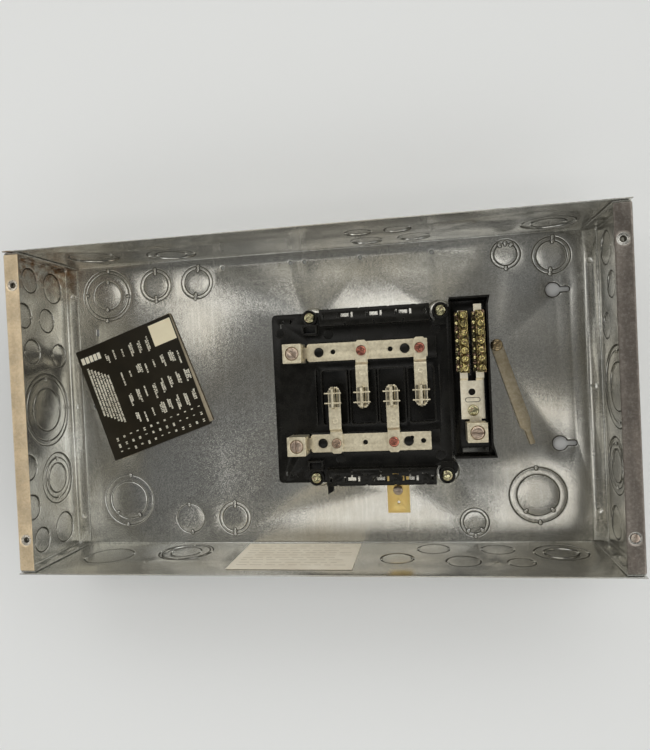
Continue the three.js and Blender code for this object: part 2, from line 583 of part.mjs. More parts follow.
/** The tin-plated neutral plate: two raised legs, a lug tang, a hole and its screw hole. */
function neutralPlate() {
  const { left, right, low, tang: reach, bend, ramp, lean, thick } = NEUTRAL;
  const z = BUS.bottom;
  const top = LEG_TOPS[1];
  const profile = [
    [low - reach, z], [bend, z], [bend + ramp, z + STRAP.rise], [top, z + STRAP.rise],
    [top, z + STRAP.rise + thick], [bend + ramp - lean, z + STRAP.rise + thick],
    [bend - lean, z + thick], [low - reach, z + thick],
  ];
  const through = [z - CUT, z + STRAP.rise + thick + CUT];
  const tang = TANG.width / 2;
  const below = [low - reach - CUT, low];
  return cut(sideProfile(profile, left, right), [
    box([NEUTRAL_NOTCH.left, NEUTRAL_NOTCH.right], [NEUTRAL_NOTCH.low, top + CUT], through),
    box([left - CUT, NEUTRAL_NOTCH.left + CUT], [LEG_TOPS[0], top + CUT], through),
    box([left - CUT, NEUTRAL_LUG.x - tang], below, through),
    box([NEUTRAL_LUG.x + tang, right + CUT], below, through),
    round(NEUTRAL_HOLE.x, NEUTRAL_HOLE.y, ...through, NEUTRAL_HOLE.r, NEUTRAL_HOLE.r, 20),
    round(NEUTRAL_SCREW.x, NEUTRAL_SCREW.y, ...through, EAR.hole, EAR.hole, 12),
  ]);
}

function barScrewYs() {
  return Array.from({ length: BAR_SCREWS.count }, (_, index) => BAR_SCREWS.first + index * BAR_SCREWS.pitch);
}

/** A terminal bar: seven wire bores along X, each with a clamping screw hole above it. */
function terminalBar(x) {
  const half = BAR.width / 2;
  const bar = box([x - half, x + half], [BAR.low, BAR.high], [BAR.bottom, BAR.top]);
  const ledge = box([x - half - BAR_LEDGE.reach, x - half + CUT],
    [BAR.low + BAR_LEDGE.inset, BAR.high - BAR_LEDGE.inset], [BAR_LEDGE.bottom, BAR_LEDGE.top]);
  const cutters = [];
  for (const y of barScrewYs()) {
    cutters.push(crossBar('x', [x, y, BAR.boreZ], BAR.width + 2 * CUT, BAR.bore, 8));
    cutters.push(round(x, y, BAR.boreZ, BAR.top + CUT, BAR.bore, BAR.bore, 8));
  }
  return cut(bar.add(ledge), cutters);
}

function terminalScrew(x, y) {
  const seat = BAR.top + BAR_SCREWS.headGap - GAP;
  const size = { head: 3.1, height: 2.4, shaft: 1.7, sides: 10 };
  const slotAngle = BAR_SCREWS.turn * (y - x);
  return slottedScrew(x, y, seat, BAR.boreZ + BAR_SCREWS.tip, { ...size, slotAngle });
}

// ---------------------------------------------------------------- small pieces

/** The bonding strap, which swings about the screw at its round end. */
function bondingStrap() {
  const { x, y, angle, length, width, tip, tipLength, thick, taperLeft, taperRight } = BOND;
  const half = width / 2;
  const end = -length;
  const arc = Array.from({ length: 9 }, (_, index) => {
    const turn = Math.PI * index / 8;
    return [half * Math.cos(turn), half * Math.sin(turn)];
  });
  const outline = [
    ...arc, [-half, end + taperLeft], [-tip / 2, end], [-tip / 2, end - tipLength],
    [tip / 2, end - tipLength],
    [tip / 2, end], [half, end + taperRight],
  ];
  const low = SHEET + GAP;
  const strap = prism(turned(outline, -angle, x, y), low, low + thick);
  return cut(strap, [round(x, y, low - CUT, low + thick + CUT, EAR.hole, EAR.hole, 12)]);
}

/** The gold bracket: a flat foot and a two-prong upright that stands inside the lower rail. */
function bracket() {
  const { left, right, low, high, thick } = BRACKET;
  const z = SHEET + GAP;
  const middle = (left + right) / 2;
  const foot = box([left, right], [low, high], [z, z + thick]);
  const upright = box(
    [middle - PRONG.outer, middle + PRONG.outer], [PRONG.y, PRONG.y + thick], [z, PRONG.top]);
  const drill = (x, y, r) => round(x, y, z - CUT, z + thick + CUT, r, r, 12);
  return cut(foot.add(upright), [
    box([middle - PRONG.inner, middle + PRONG.inner], [PRONG.y - CUT, PRONG.y + thick + CUT],
      [PRONG.foot, PRONG.top + CUT]),
    drill(BRACKET_SCREW.x, BRACKET_SCREW.y, EAR.hole),
    drill(BRACKET_HOLE.x, BRACKET_HOLE.y, BRACKET_HOLE.r),
  ]);
}

/** A loose rectangular sheet, turned and shifted along its own short side. */
function looseSheet(shift, z, thick) {
  const { x, y, angle, length, width } = CARD;
  const corners = chamfered(-length / 2, length / 2, shift - width / 2, shift + width / 2, thick);
  return prism(turned(corners, angle, x, y), z, z + thick);
}

function wiringLabel() {
  const inner = WIDTH / 2 - SHEET - GAP;
  return box([LABEL.left, LABEL.right], [-inner, LABEL.thick - inner], [LABEL.low, LABEL.high]);
}

// ---------------------------------------------------------------- assembly

place('enclosure_body', enclosureBody(), GALVANISED);
place('end_wall_bottom', endWall(-1), GALVANISED);
place('end_wall_top', endWall(1), GALVANISED);
place('interior_base', interiorBase(), BLACK_PLASTIC);
place('bus_bar_a', busBar(1), TIN);
place('bus_bar_b', busBar(-1), TIN);

POLES.forEach((x, index) => {
  const side = index % 2 === 0 ? -1 : 1;
  place(`branch_stab_${index + 1}`, branchStab(x, side), TIN);
  place(`stab_screw_${index + 1}`, stabScrew(x, side), COPPER_SCREW);
});

place('line_lug_a', lug(LINE_LUGS[0][0], LINE_LUGS[0][1], 'x'), TIN);
place('line_lug_screw_a', lugScrew(LINE_LUGS[0][0], LINE_LUGS[0][1], -45), STEEL_SCREW);
place('line_lug_b', lug(LINE_LUGS[1][0], LINE_LUGS[1][1], 'x'), TIN);
place('line_lug_screw_b', lugScrew(LINE_LUGS[1][0], LINE_LUGS[1][1], 88), STEEL_SCREW);

place('neutral_holder', neutralHolder(), BLACK_PLASTIC);
place('neutral_plate', neutralPlate(), TIN);
place('neutral_lug', lug(NEUTRAL_LUG.x, NEUTRAL_LUG.y, 'y'), TIN);
place('neutral_lug_screw', lugScrew(NEUTRAL_LUG.x, NEUTRAL_LUG.y, -3), STEEL_SCREW);
place('neutral_plate_screw', slottedScrew(NEUTRAL_SCREW.x, NEUTRAL_SCREW.y, BUS.bottom + NEUTRAL.thick,
  SCREW_TIP.neutral, { ...PAN_HEAD, slotAngle: 10 }), YELLOW_ZINC);

['a', 'b'].forEach((letter, index) => {
  place(`neutral_bar_${letter}`, terminalBar(BARS[index]), YELLOW_ZINC);
  barScrewYs().forEach((y, row) => {
    place(`terminal_screw_${letter}${row + 1}`, terminalScrew(BARS[index], y), YELLOW_ZINC);
  });
});

EARS.forEach(([x, y], index) => {
  place(`base_screw_${index + 1}`,
    slottedScrew(x, y, EAR.top, SCREW_TIP.interior, { ...PAN_HEAD, slotAngle: 35 + 50 * index }),
    YELLOW_ZINC);
});

place('bonding_strap', bondingStrap(), STRAP_TIN);
place('bonding_screw', slottedScrew(BOND.x, BOND.y, SHEET + GAP + BOND.thick, SCREW_TIP.sheet,
  BONDING_SCREW), YELLOW_ZINC);
place('ground_bracket', bracket(), BRACKET_GOLD);
place('bracket_screw', slottedScrew(BRACKET_SCREW.x, BRACKET_SCREW.y, SHEET + GAP + BRACKET.thick,
  SCREW_TIP.sheet, BRACKET_HEAD), STEEL_SCREW);
place('cover_screw', slottedScrew(LIP_HOLE.x, -LIP_HOLE.y, DEPTH - DIMPLE.depth, SCREW_TIP.cover,
  COVER_SCREW), STEEL_SCREW);
place('directory_card', looseSheet(0, CARD.z, CARD.thick), DARK_CARD);
place('card_backing', looseSheet(CARD.backingShift, CARD.z - GAP - CARD.thick, CARD.thick), CREAM_CARD);
place('wiring_label', wiringLabel(), LABEL_PAPER);

export default group;
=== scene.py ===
"""Looks for the residential load center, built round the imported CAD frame.

Shapes are worked out in millimetres and become metres when a mesh is made. The box lies on its
back: +Z comes out of its open front, and +X points to the end that is up when it hangs.
"""
import json
import math
import random

import bmesh
import bpy
from mathutils import Matrix, Vector
from mathutils.geometry import delaunay_2d_cdt, intersect_point_tri_2d


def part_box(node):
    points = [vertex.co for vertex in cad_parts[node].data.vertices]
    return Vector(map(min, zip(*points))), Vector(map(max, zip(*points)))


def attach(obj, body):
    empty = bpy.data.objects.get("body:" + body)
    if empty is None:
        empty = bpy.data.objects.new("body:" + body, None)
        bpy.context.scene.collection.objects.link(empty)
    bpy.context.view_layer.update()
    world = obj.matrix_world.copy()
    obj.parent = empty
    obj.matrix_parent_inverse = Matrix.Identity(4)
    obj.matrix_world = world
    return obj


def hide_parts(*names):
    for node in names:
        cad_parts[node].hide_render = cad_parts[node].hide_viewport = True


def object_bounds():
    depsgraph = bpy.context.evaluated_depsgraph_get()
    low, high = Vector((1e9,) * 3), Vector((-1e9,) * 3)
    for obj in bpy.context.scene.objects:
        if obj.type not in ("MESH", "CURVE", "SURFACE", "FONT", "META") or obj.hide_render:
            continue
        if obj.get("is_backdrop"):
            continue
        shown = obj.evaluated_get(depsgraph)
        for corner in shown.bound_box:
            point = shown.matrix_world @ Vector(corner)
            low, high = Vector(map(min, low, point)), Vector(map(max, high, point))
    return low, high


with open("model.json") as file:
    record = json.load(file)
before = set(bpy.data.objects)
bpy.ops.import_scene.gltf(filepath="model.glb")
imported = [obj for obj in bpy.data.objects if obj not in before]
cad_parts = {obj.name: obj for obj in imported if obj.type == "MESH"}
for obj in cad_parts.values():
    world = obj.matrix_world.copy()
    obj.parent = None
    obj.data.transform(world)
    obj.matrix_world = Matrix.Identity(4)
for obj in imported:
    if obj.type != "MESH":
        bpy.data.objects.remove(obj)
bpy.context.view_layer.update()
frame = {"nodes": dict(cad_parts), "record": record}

MM = 0.001
WELD = 0.003                      # points closer than this, in millimetres, are joined
random.seed(11)

BODY_OF = {
    node: body
    for body, nodes in frame["record"]["behaviour"]["bodies"].items()
    for node in nodes
}


def span(node):
    """Lowest and highest corner of a CAD node, in millimetres."""
    low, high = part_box(node)
    return low / MM, high / MM


def middle(node):
    low, high = span(node)
    return (low + high) / 2


# ------------------------------------------------------------------ driving dimensions

BOX_LOW, BOX_HIGH = span("enclosure_body")
WIDTH, DEPTH = (BOX_HIGH - BOX_LOW).yz
SHEET = 1.3                       # galvanised sheet
SHEET_EDGE = 0.55                 # rounding along its cut edges
BEND = 2.1                        # outer radius of a sheet bend
FLANGE = 13.7                     # width of an end wall's flanges and lip
POLES = [middle(f"branch_stab_{number}").x for number in (1, 2, 3, 4)]
POLE_PITCH = (POLES[3] - POLES[0]) / 3
EDGE = 0.35                       # rounding on the edges of bars and blocks

# Trade knockouts: each ring's diameter and where its ties are, in degrees from its first one
ENDS = (0, 180)
HALF_INCH = ((22.2, ENDS),)
THREE_QUARTER = ((28.2, ENDS),)
HALF_DOUBLE = ((31.5, ENDS), (25, ENDS))
SMALL_DOUBLE = ((26, (180,)), (20, (-32, 0, 32)))
SMALL_NIBBED = ((26, (180,)), (20, (140, 220)))
LARGE = ((44, ENDS),)
TWIN = ((44, ENDS), (28, ENDS))
CLOSE_TWIN = ((33, ENDS), (26, ENDS))
TWO_INCH = ((50, ENDS), (37, (140, 220)))
TRIPLE = ((50, ENDS), (44, (90, 270)), (28, ENDS))
SIDE_TWIN = ((48, ENDS), (38, (90, 270)), (28, ENDS))
SIDE_LARGE = ((68, ENDS), (59, (90, 270)), (40, ENDS))

# Where each knockout is: place along the sheet, place across it, rings, turn of its ties
REAR_KNOCKOUTS = [
    (-209, 109, TRIPLE, 86), (-158, 116, HALF_DOUBLE, 90), (-115.5, 116, HALF_DOUBLE, 82),
    (-197, -95, TWO_INCH, 84), (-133.5, -114, THREE_QUARTER, 95), (-88.5, -114, HALF_DOUBLE, 88),
    (175, 121, SMALL_DOUBLE, 90), (214, 117, CLOSE_TWIN, 84), (194.5, -96, TWO_INCH, 92),
    (138, -120, SMALL_NIBBED, 92),
]
LONG_WALL_A_KNOCKOUTS = [
    (-198, 43, LARGE, 20), (-128, 30, TWIN, 0), (49, 57, HALF_INCH, 0), (82, 58, HALF_INCH, 30),
    (53, 22, THREE_QUARTER, 0), (95, 23, THREE_QUARTER, 10), (206, 35, TWIN, 0),
]
LONG_WALL_B_KNOCKOUTS = [
    (-198, 43, LARGE, 20), (-128, 30, TRIPLE, 0), (69, 50, THREE_QUARTER, 10),
    (100, 21.5, THREE_QUARTER, 0), (124, 57, THREE_QUARTER, 20), (155, 23, THREE_QUARTER, 0),
    (170, 60, HALF_INCH, 15), (206, 32, TWIN, 0),
]
END_KNOCKOUTS = [
    (-115, 26, THREE_QUARTER, 90), (-118, 62, HALF_INCH, 80), (-86, 74, HALF_INCH, 90),
    (-50, 76, HALF_INCH, 90), (-66, 33, SIDE_TWIN, 90), (0, 44, SIDE_LARGE, 90),
    (54, 62, HALF_INCH, 85), (51, 21, HALF_INCH, 90), (84, 38, HALF_INCH, 90),
    (86, 72, HALF_INCH, 95), (116, 26, THREE_QUARTER, 90), (119, 61, HALF_INCH, 90),
]
ROW_HOLES = [-89, -22, -8.5, 44.4, 110]
ROW_Y = 128
KEYHOLES = [(214, 86.5), (215, -50)]


# ------------------------------------------------------------------ shapes: (vertices, faces)

def combine(shapes):
    """Several shapes as one."""
    verts, faces = [], []
    for part_verts, part_faces in shapes:
        start = len(verts)
        verts += part_verts
        faces += [[start + index for index in face] for face in part_faces]
    return verts, faces


def moved(shape, matrix):
    verts, faces = shape
    return [matrix @ Vector(vert) for vert in verts], faces


def circle(x, y, radius, steps=32, start=0.0, sweep=math.tau):
    """Points round a circle, or along an arc with both of its ends."""
    closed = abs(sweep - math.tau) < 1e-6
    points = []
    for i in range(steps if closed else steps + 1):
        angle = start + sweep * i / steps
        points.append((x + radius * math.cos(angle), y + radius * math.sin(angle)))
    return points


def rounded(x0, x1, y0, y1, radius, steps=5):
    """A rectangle with rounded corners, anticlockwise."""
    points = []
    for cx, cy, turn in ((x1, y0, -90), (x1, y1, 0), (x0, y1, 90), (x0, y0, 180)):
        mx = cx + (radius if cx == x0 else -radius)
        my = cy + (radius if cy == y0 else -radius)
        points += circle(mx, my, radius, steps, math.radians(turn), math.pi / 2)
    return points


def lathe(profile, centre, steps=32, along="z"):
    """A profile of (radius, height) points turned about an axis; it starts and ends on the axis."""
    verts = []
    faces = []
    rings = []
    for radius, height in profile:
        if radius < WELD:
            rings.append([len(verts)] * steps)
            verts.append(Vector((0, 0, height)))
        else:
            rings.append([len(verts) + i for i in range(steps)])
            verts += [Vector((x, y, height)) for x, y in circle(0, 0, radius, steps)]
    for low, high in zip(rings, rings[1:]):
        for i in range(steps):
            j = (i + 1) % steps
            face = [low[i], low[j], high[j], high[i]]
            faces.append(list(dict.fromkeys(face)))
    turn = Matrix.Rotation(math.pi / 2, 4, "Y") if along == "x" else Matrix()
    return moved((verts, faces), Matrix.Translation(centre) @ turn)


class Fold:
    """The path that a flat blank is bent along, traced on the blank's lower face."""

    def __init__(self, start, heading, runs, world):
        self.world = world
        self.stretches = []
        self.lines = []
        place, angle, v = Vector(start), math.radians(heading), 0.0
        for run in runs:
            turn, radius = (math.radians(run[0]), run[1]) if isinstance(run, tuple) else (0.0, 0.0)
            length = abs(turn) * radius if turn else run
            self.stretches.append((v, length, place, angle, turn, radius))
            if turn:
                steps = max(3, round(abs(math.degrees(turn)) / 15))
                self.lines += [v + length * i / steps for i in range(steps + 1)]
            place, angle = self._walk(self.stretches[-1], length)
            v += length
        self.length = v

    @staticmethod
    def _walk(stretch, distance):
        _, length, place, angle, turn, radius = stretch
        if not turn:
            return place + distance * Vector((math.cos(angle), math.sin(angle))), angle
        side = math.copysign(radius, turn)
        centre = place + side * Vector((-math.sin(angle), math.cos(angle)))
        now = angle + turn * distance / length
        return centre - side * Vector((-math.sin(now), math.cos(now))), now

    def point(self, u, v, h):
        stretch = next((s for s in reversed(self.stretches) if v >= s[0] - WELD), self.stretches[0])
        place, angle = self._walk(stretch, v - stretch[0])
        place = place + h * Vector((-math.sin(angle), math.cos(angle)))
        return Vector(self.world(u, place.x, place.y))


class Lifted:
    """A fold seen from a higher layer of the same sheet."""

    def __init__(self, fold, height):
        self.lines, self.length = fold.lines, fold.length
        self.point = lambda u, v, h: fold.point(u, v, h + height)


def flat(z, matrix=Matrix()):
    """An unbent blank lying at height z, then moved by a matrix."""
    return Fold((0, z), 0, [1.0], lambda u, v, h: matrix @ Vector((u, v, h)))


def with_fold_points(outline, lines):
    """The outline with a point wherever it crosses a fold line."""
    points = []
    for (u0, v0), (u1, v1) in zip(outline, outline[1:] + outline[:1]):
        points.append((u0, v0))
        crossed = [line for line in lines if min(v0, v1) + WELD < line < max(v0, v1) - WELD]
        for line in sorted(crossed, reverse=v1 < v0):
            share = (line - v0) / (v1 - v0)
            points.append((u0 + share * (u1 - u0), line))
    return points


def area(loop):
    return sum(a[0] * b[1] - b[0] * a[1] for a, b in zip(loop, loop[1:] + loop[:1])) / 2


def drawn_in(loop, distance):
    """The loop moved to its left by a distance, each corner along its bisector."""
    points = []
    count = len(loop)
    for i in range(count):
        before, here, after = Vector(loop[i - 1]), Vector(loop[i]), Vector(loop[(i + 1) % count])
        into, out = (here - before).normalized(), (after - here).normalized()
        normal = Vector((-into.y - out.y, into.x + out.x))
        normal.normalize()
        reach = distance / max(0.4, normal.dot(Vector((-into.y, into.x))))
        points.append(tuple(here + normal * reach))
    return points


def filled(outline, holes, lines):
    """Triangles between an outline and its holes, with edges along the fold lines."""
    points = list(outline)
    loop_of = [-1] * len(outline)
    faces = [list(range(len(outline)))]
    for number, hole in enumerate(holes):
        faces.append([len(points) + i for i in range(len(hole))])
        points += hole
        loop_of += [number] * len(hole)
    edges = []
    for line in lines:
        on_line = sorted((p[0], i) for i, p in enumerate(outline) if abs(p[1] - line) < WELD)
        edges += [(on_line[i][1], on_line[i + 1][1]) for i in range(0, len(on_line) - 1, 2)]
    result = delaunay_2d_cdt([Vector(p) for p in points], edges, faces, 1, WELD / 10)
    verts, triangles, sources = result[0], result[2], result[3]
    loops = [loop_of[source[0]] if source else -2 for source in sources]
    kept = []
    for triangle in triangles:
        owners = {loops[i] for i in triangle}
        if len(owners) == 1 and min(owners) >= 0:
            centre = sum((verts[i] for i in triangle), Vector((0, 0))) / 3
            if inside(centre, holes[owners.pop()]):
                continue
        kept.append(list(triangle))
    return [tuple(v) for v in verts], kept


def inside(point, loop):
    hits = 0
    for (x0, y0), (x1, y1) in zip(loop, loop[1:] + loop[:1]):
        if (y0 > point.y) != (y1 > point.y) and point.x < x0 + (point.y - y0) * (x1 - x0) / (y1 - y0):
            hits += 1
    return hits % 2 == 1


def strip(lower, upper):
    """Faces between two closed rows of points."""
    count = len(lower)
    verts = list(lower) + list(upper)
    faces = [[i, (i + 1) % count, count + (i + 1) % count, count + i] for i in range(count)]
    return verts, faces


def embossed(fold, thick, u, v, rings, closed):
    """Rings of (radius, height) worked into a sheet, ending in a disc or a hole."""
    steps = round_steps(rings[0][0])
    rows = []
    for radius, height in rings:
        points = circle(0, 0, radius, steps)
        level = [height(math.atan2(y, x)) if callable(height) else height for x, y in points]
        rows.append([(u + x, v + y, h) for (x, y), h in zip(points, level)])
    shapes = []
    for base in (0, thick):
        placed = [[fold.point(pu, pv, base + h) for pu, pv, h in row] for row in rows]
        shapes += [strip(outer, inner) for outer, inner in zip(placed, placed[1:])]
        if closed:
            hub = sum(placed[-1], Vector()) / steps
            fan = [[i, (i + 1) % steps, steps] for i in range(steps)]
            shapes.append((placed[-1] + [hub], fan))
    if not closed:
        ends = [[fold.point(pu, pv, base + h) for pu, pv, h in rows[-1]] for base in (0, thick)]
        shapes.append(strip(*ends))
    return combine(shapes)


EDGE_STEPS = 3      # strips across a rounded cut edge


def round_steps(radius):
    """How many points go round an embossed work of this radius."""
    return max(24, min(96, int(radius * 4)))


def pressed(outline, fold, thick, holes=(), works=(), edge=0.0):
    """A blank with holes and embossed works, rounded along its cut edges and bent along a fold."""
    outline = with_fold_points(outline if area(outline) > 0 else outline[::-1], fold.lines)
    holes = [hole if area(hole) < 0 else hole[::-1] for hole in holes]
    loops = [outline, *holes]
    inner = [drawn_in(loop, edge) for loop in loops] if edge else loops
    seats = []
    for work in works:
        radius = work["rings"][0][0]
        seats.append(circle(work["u"], work["v"], radius, round_steps(radius)))
    cap, triangles = filled(inner[0], inner[1:] + seats, fold.lines)
    shapes = [([fold.point(*p, level) for p in cap], triangles) for level in (0, thick)]
    turns = [math.pi / 2 * i / EDGE_STEPS for i in range(EDGE_STEPS + 1)] if edge else [0.0]
    levels = [(turn, edge * (1 - math.cos(turn))) for turn in turns]
    levels += [(turn, thick - height) for turn, height in reversed(levels)]
    for loop in loops:
        rows = []
        for turn, height in levels:
            shifted = drawn_in(loop, edge * (1 - math.sin(turn))) if edge else loop
            rows.append([fold.point(*p, height) for p in shifted])
        shapes += [strip(a, b) for a, b in zip(rows, rows[1:])]
    shapes += [embossed(fold, thick, **work) for work in works]
    return combine(shapes)


TIP = 0.55          # how far a knockout ring is tipped about its ties
SUNK = 0.25         # how far a rear knockout is pushed out of the sheet
WALL_SUNK = 0.6     # the same for a knockout in a wall
# The dirt and painted shade in a wall knockout's gap lie level, this wide and this far under the
# surface
LONG_WALL_DIRT_AND_SHADE = {"tipped": False, "width": 0.9, "depth": 0.12}
END_WALL_DIRT_AND_SHADE = {"tipped": False, "width": 0.55, "depth": 0.25}
DIRT_AND_SHADE_THICK = 0.2
NIB_SUNK = 0.25     # how deep a nib is set into the sheet
NIB_PAIR = ((0, 1.6), (1.5, 1.1))   # each nib's distance inside its ring, and its radius
# Across a sheared ring, from the sheet to its middle: reach from the line, and depth
SHEAR_LINE = [(1.15, 0), (0.85, 0.04), (0.62, 0.14), (0.42, 0.3), (0.28, 0.52), (0.18, 0.95)]


def tilt(size, sign, tie, sunk):
    """The height of a ring that is tipped about its ties."""
    return lambda angle, radius: sign * TIP * math.sin(angle - tie) * radius / size - sunk


def sheared(kind, turn, sunk):
    """Each ring's radius, with the heights of the metal outside and inside it."""
    outside = tilt(1, 0, 0, 0)
    for index, (diameter, offsets) in enumerate(kind):
        tie = math.radians(turn + offsets[0])
        within = tilt(diameter / 2, -1 if index % 2 else 1, tie, sunk)
        yield diameter / 2, outside, within
        outside = within


def knockout(u, v, kind, turn, sunk=SUNK):
    """Sheared rings with rolled edges, each tipped the other way about its ties."""
    rings = []
    for size, outside, within in sheared(kind, turn, sunk):
        across = [(reach, depth, outside) for reach, depth in SHEAR_LINE]
        across += [(-reach, depth, within) for reach, depth in reversed(SHEAR_LINE)]
        for reach, depth, level in across:
            radius = size + reach
            rings.append((radius, lambda angle, f=level, r=radius, d=depth: f(angle, r) - d))
    half = kind[-1][0] / 4
    rings.append((half, lambda angle, f=within: f(angle, half)))
    return {"u": u, "v": v, "rings": rings, "closed": True}


def gaps(fold, top, u, v, kind, turn, tipped=True, width=0.45, depth=0.4):
    """Dirt and painted shade that fill each sheared gap, as thin closed dark ribbons."""
    section = [(width, 0), (-width, 0), (-width, DIRT_AND_SHADE_THICK), (width, DIRT_AND_SHADE_THICK), (width, 0)]
    ribbons = []
    for size, outside, within in sheared(kind, turn, SUNK):
        rows = []
        for reach, drop in section:
            row = []
            for x, y in circle(0, 0, size + reach / 2, max(32, int(size * 4))):
                angle = math.atan2(y, x)
                level = min(outside(angle, size), within(angle, size)) if tipped else 0
                row.append(fold.point(u + x, v + y, top + level - depth - drop))
            rows.append(row)
        ribbons += [strip(a, b) for a, b in zip(rows, rows[1:])]
    return combine(ribbons)


def nib(size):
    """A raised nib, as (radius, height)."""
    return [(0, 0), (size, 0), (size * 0.92, 0.45), (size * 0.55, 0.78), (0, 0.9)]


def stain(size):
    """A dark disc round a nib, as (radius, height)."""
    return [(0, 0), (size + 0.6, 0), (size + 0.6, 0.33), (0, 0.33)]


def ties(fold, top, u, v, kind, turn, profile=nib):
    """A small turned shape wherever a ring is still joined to the sheet."""
    made = []
    for diameter, offsets in kind:
        for offset in offsets:
            angle = math.radians(turn + offset)
            for inward, size in NIB_PAIR:
                reach = diameter / 2 - inward
                nu, nv = u + reach * math.cos(angle), v + reach * math.sin(angle)
                base = fold.point(nu, nv, top - NIB_SUNK)
                normal = fold.point(nu, nv, top + 1) - base
                aim = normal.to_track_quat("Z", "Y").to_matrix().to_4x4()
                turned = lathe(profile(size), (0, 0, 0), 12)
                made.append(moved(turned, Matrix.Translation(base) @ aim))
    return combine(made)


def dish(u, v, rings, closed=False):
    """Rings of (radius, height) round a point of a blank: a dimple, or a hole unless closed."""
    return {"u": u, "v": v, "rings": rings, "closed": closed}


# ------------------------------------------------------------------ objects

def mesh_object(name, shape, smooth=32):
    """An object of a shape: its points joined up, smooth except along edges sharper than an angle."""
    verts, faces = shape
    mesh = bpy.data.meshes.new(name)
    mesh.from_pydata([Vector(vert) * MM for vert in verts], [], faces)
    work = bmesh.new()
    work.from_mesh(mesh)
    bmesh.ops.remove_doubles(work, verts=work.verts, dist=WELD * MM)
    bmesh.ops.recalc_face_normals(work, faces=work.faces)
    work.to_mesh(mesh)
    work.free()
    mesh.shade_smooth()
    mesh.set_sharp_from_angle(angle=math.radians(smooth))
    piece = bpy.data.objects.new(name, mesh)
    bpy.context.scene.collection.objects.link(piece)
    return piece


def applied(piece, smooth=32):
    """Turns a piece's modifiers into plain mesh."""
    graph = bpy.context.evaluated_depsgraph_get()
    mesh = bpy.data.meshes.new_from_object(piece.evaluated_get(graph))
    piece.modifiers.clear()
    old, piece.data = piece.data, mesh
    bpy.data.meshes.remove(old)
    mesh.shade_smooth()
    mesh.set_sharp_from_angle(angle=math.radians(smooth))
    return piece


def carved(piece, cutters):
    """The piece with cutter shapes taken away."""
    tools = [mesh_object(f"{piece.name}_tool", shape) for shape in cutters]
    for tool in tools:
        cut = piece.modifiers.new("cut", "BOOLEAN")
        cut.operation = "DIFFERENCE"
        cut.solver = "EXACT"
        cut.object = tool
    applied(piece)
    for tool in tools:
        bpy.data.objects.remove(tool)
    return piece


def rounded_off(piece, width, segments=2, angle=38):
    """The piece with every edge sharper than an angle rounded."""
    bevel = piece.modifiers.new("edges", "BEVEL")
    bevel.width = width * MM
    bevel.segments = segments
    bevel.limit_method = "ANGLE"
    bevel.angle_limit = math.radians(angle)
    bevel.use_clamp_overlap = True
    return applied(piece, 40)


def dressed(name, node, width, segments=2):
    """A copy of a CAD node with its flat faces joined up and its edges rounded."""
    mesh = frame["nodes"][node].data.copy()
    work = bmesh.new()
    work.from_mesh(mesh)
    bmesh.ops.remove_doubles(work, verts=work.verts, dist=WELD * MM)
    bmesh.ops.dissolve_limit(work, angle_limit=math.radians(1), verts=work.verts, edges=work.edges)
    work.to_mesh(mesh)
    work.free()
    mesh.materials.clear()
    piece = bpy.data.objects.new(name, mesh)
    bpy.context.scene.collection.objects.link(piece)
    return rounded_off(piece, width, segments)


def adopt(piece, node, material, stands_for=True):
    """Gives a piece its material and its body, and lets it stand for its CAD node."""
    piece.data.materials.clear()
    piece.data.materials.append(material)
    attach(piece, BODY_OF[node])
    if stands_for:
        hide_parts(node)
    return piece


def fitted(name, shape, node, material, stands_for=True):
    """A new piece of a shape, adopted by a CAD node."""
    return adopt(mesh_object(name, shape), node, material, stands_for)


# ------------------------------------------------------------------ materials

class Nodes:
    """A shader node tree, with short ways to add nodes to it."""

    def __init__(self, tree):
        self.tree = tree

    def plug(self, socket, value):
        """Links an output to a socket, or gives the socket a plain value or a colour."""
        if isinstance(value, bpy.types.NodeSocket):
            self.tree.links.new(value, socket)
        elif isinstance(value, tuple):
            socket.default_value = (*value, 1)[:len(socket.default_value)]
        else:
            socket.default_value = value

    def set(self, node, values):
        for key, value in values.items():
            self.plug(node.inputs[key], value)

    def add(self, kind, settings=None, **values):
        made = self.tree.nodes.new(f"ShaderNode{kind}")
        for key, value in (settings or {}).items():
            setattr(made, key, value)
        self.set(made, values)
        return made

    def sum(self, kind, operation, *values):
        """A node that works on its sockets in order."""
        made = self.add(kind, {"operation": operation})
        for socket, value in zip(made.inputs, values):
            self.plug(socket, value)
        return made.outputs

    def maths(self, operation, *values):
        return self.sum("Math", operation, *values)["Value"]

    def vector(self, operation, *values):
        return self.sum("VectorMath", operation, *values)["Vector"]

    def dot(self, first, second):
        return self.sum("VectorMath", "DOT_PRODUCT", first, second)["Value"]


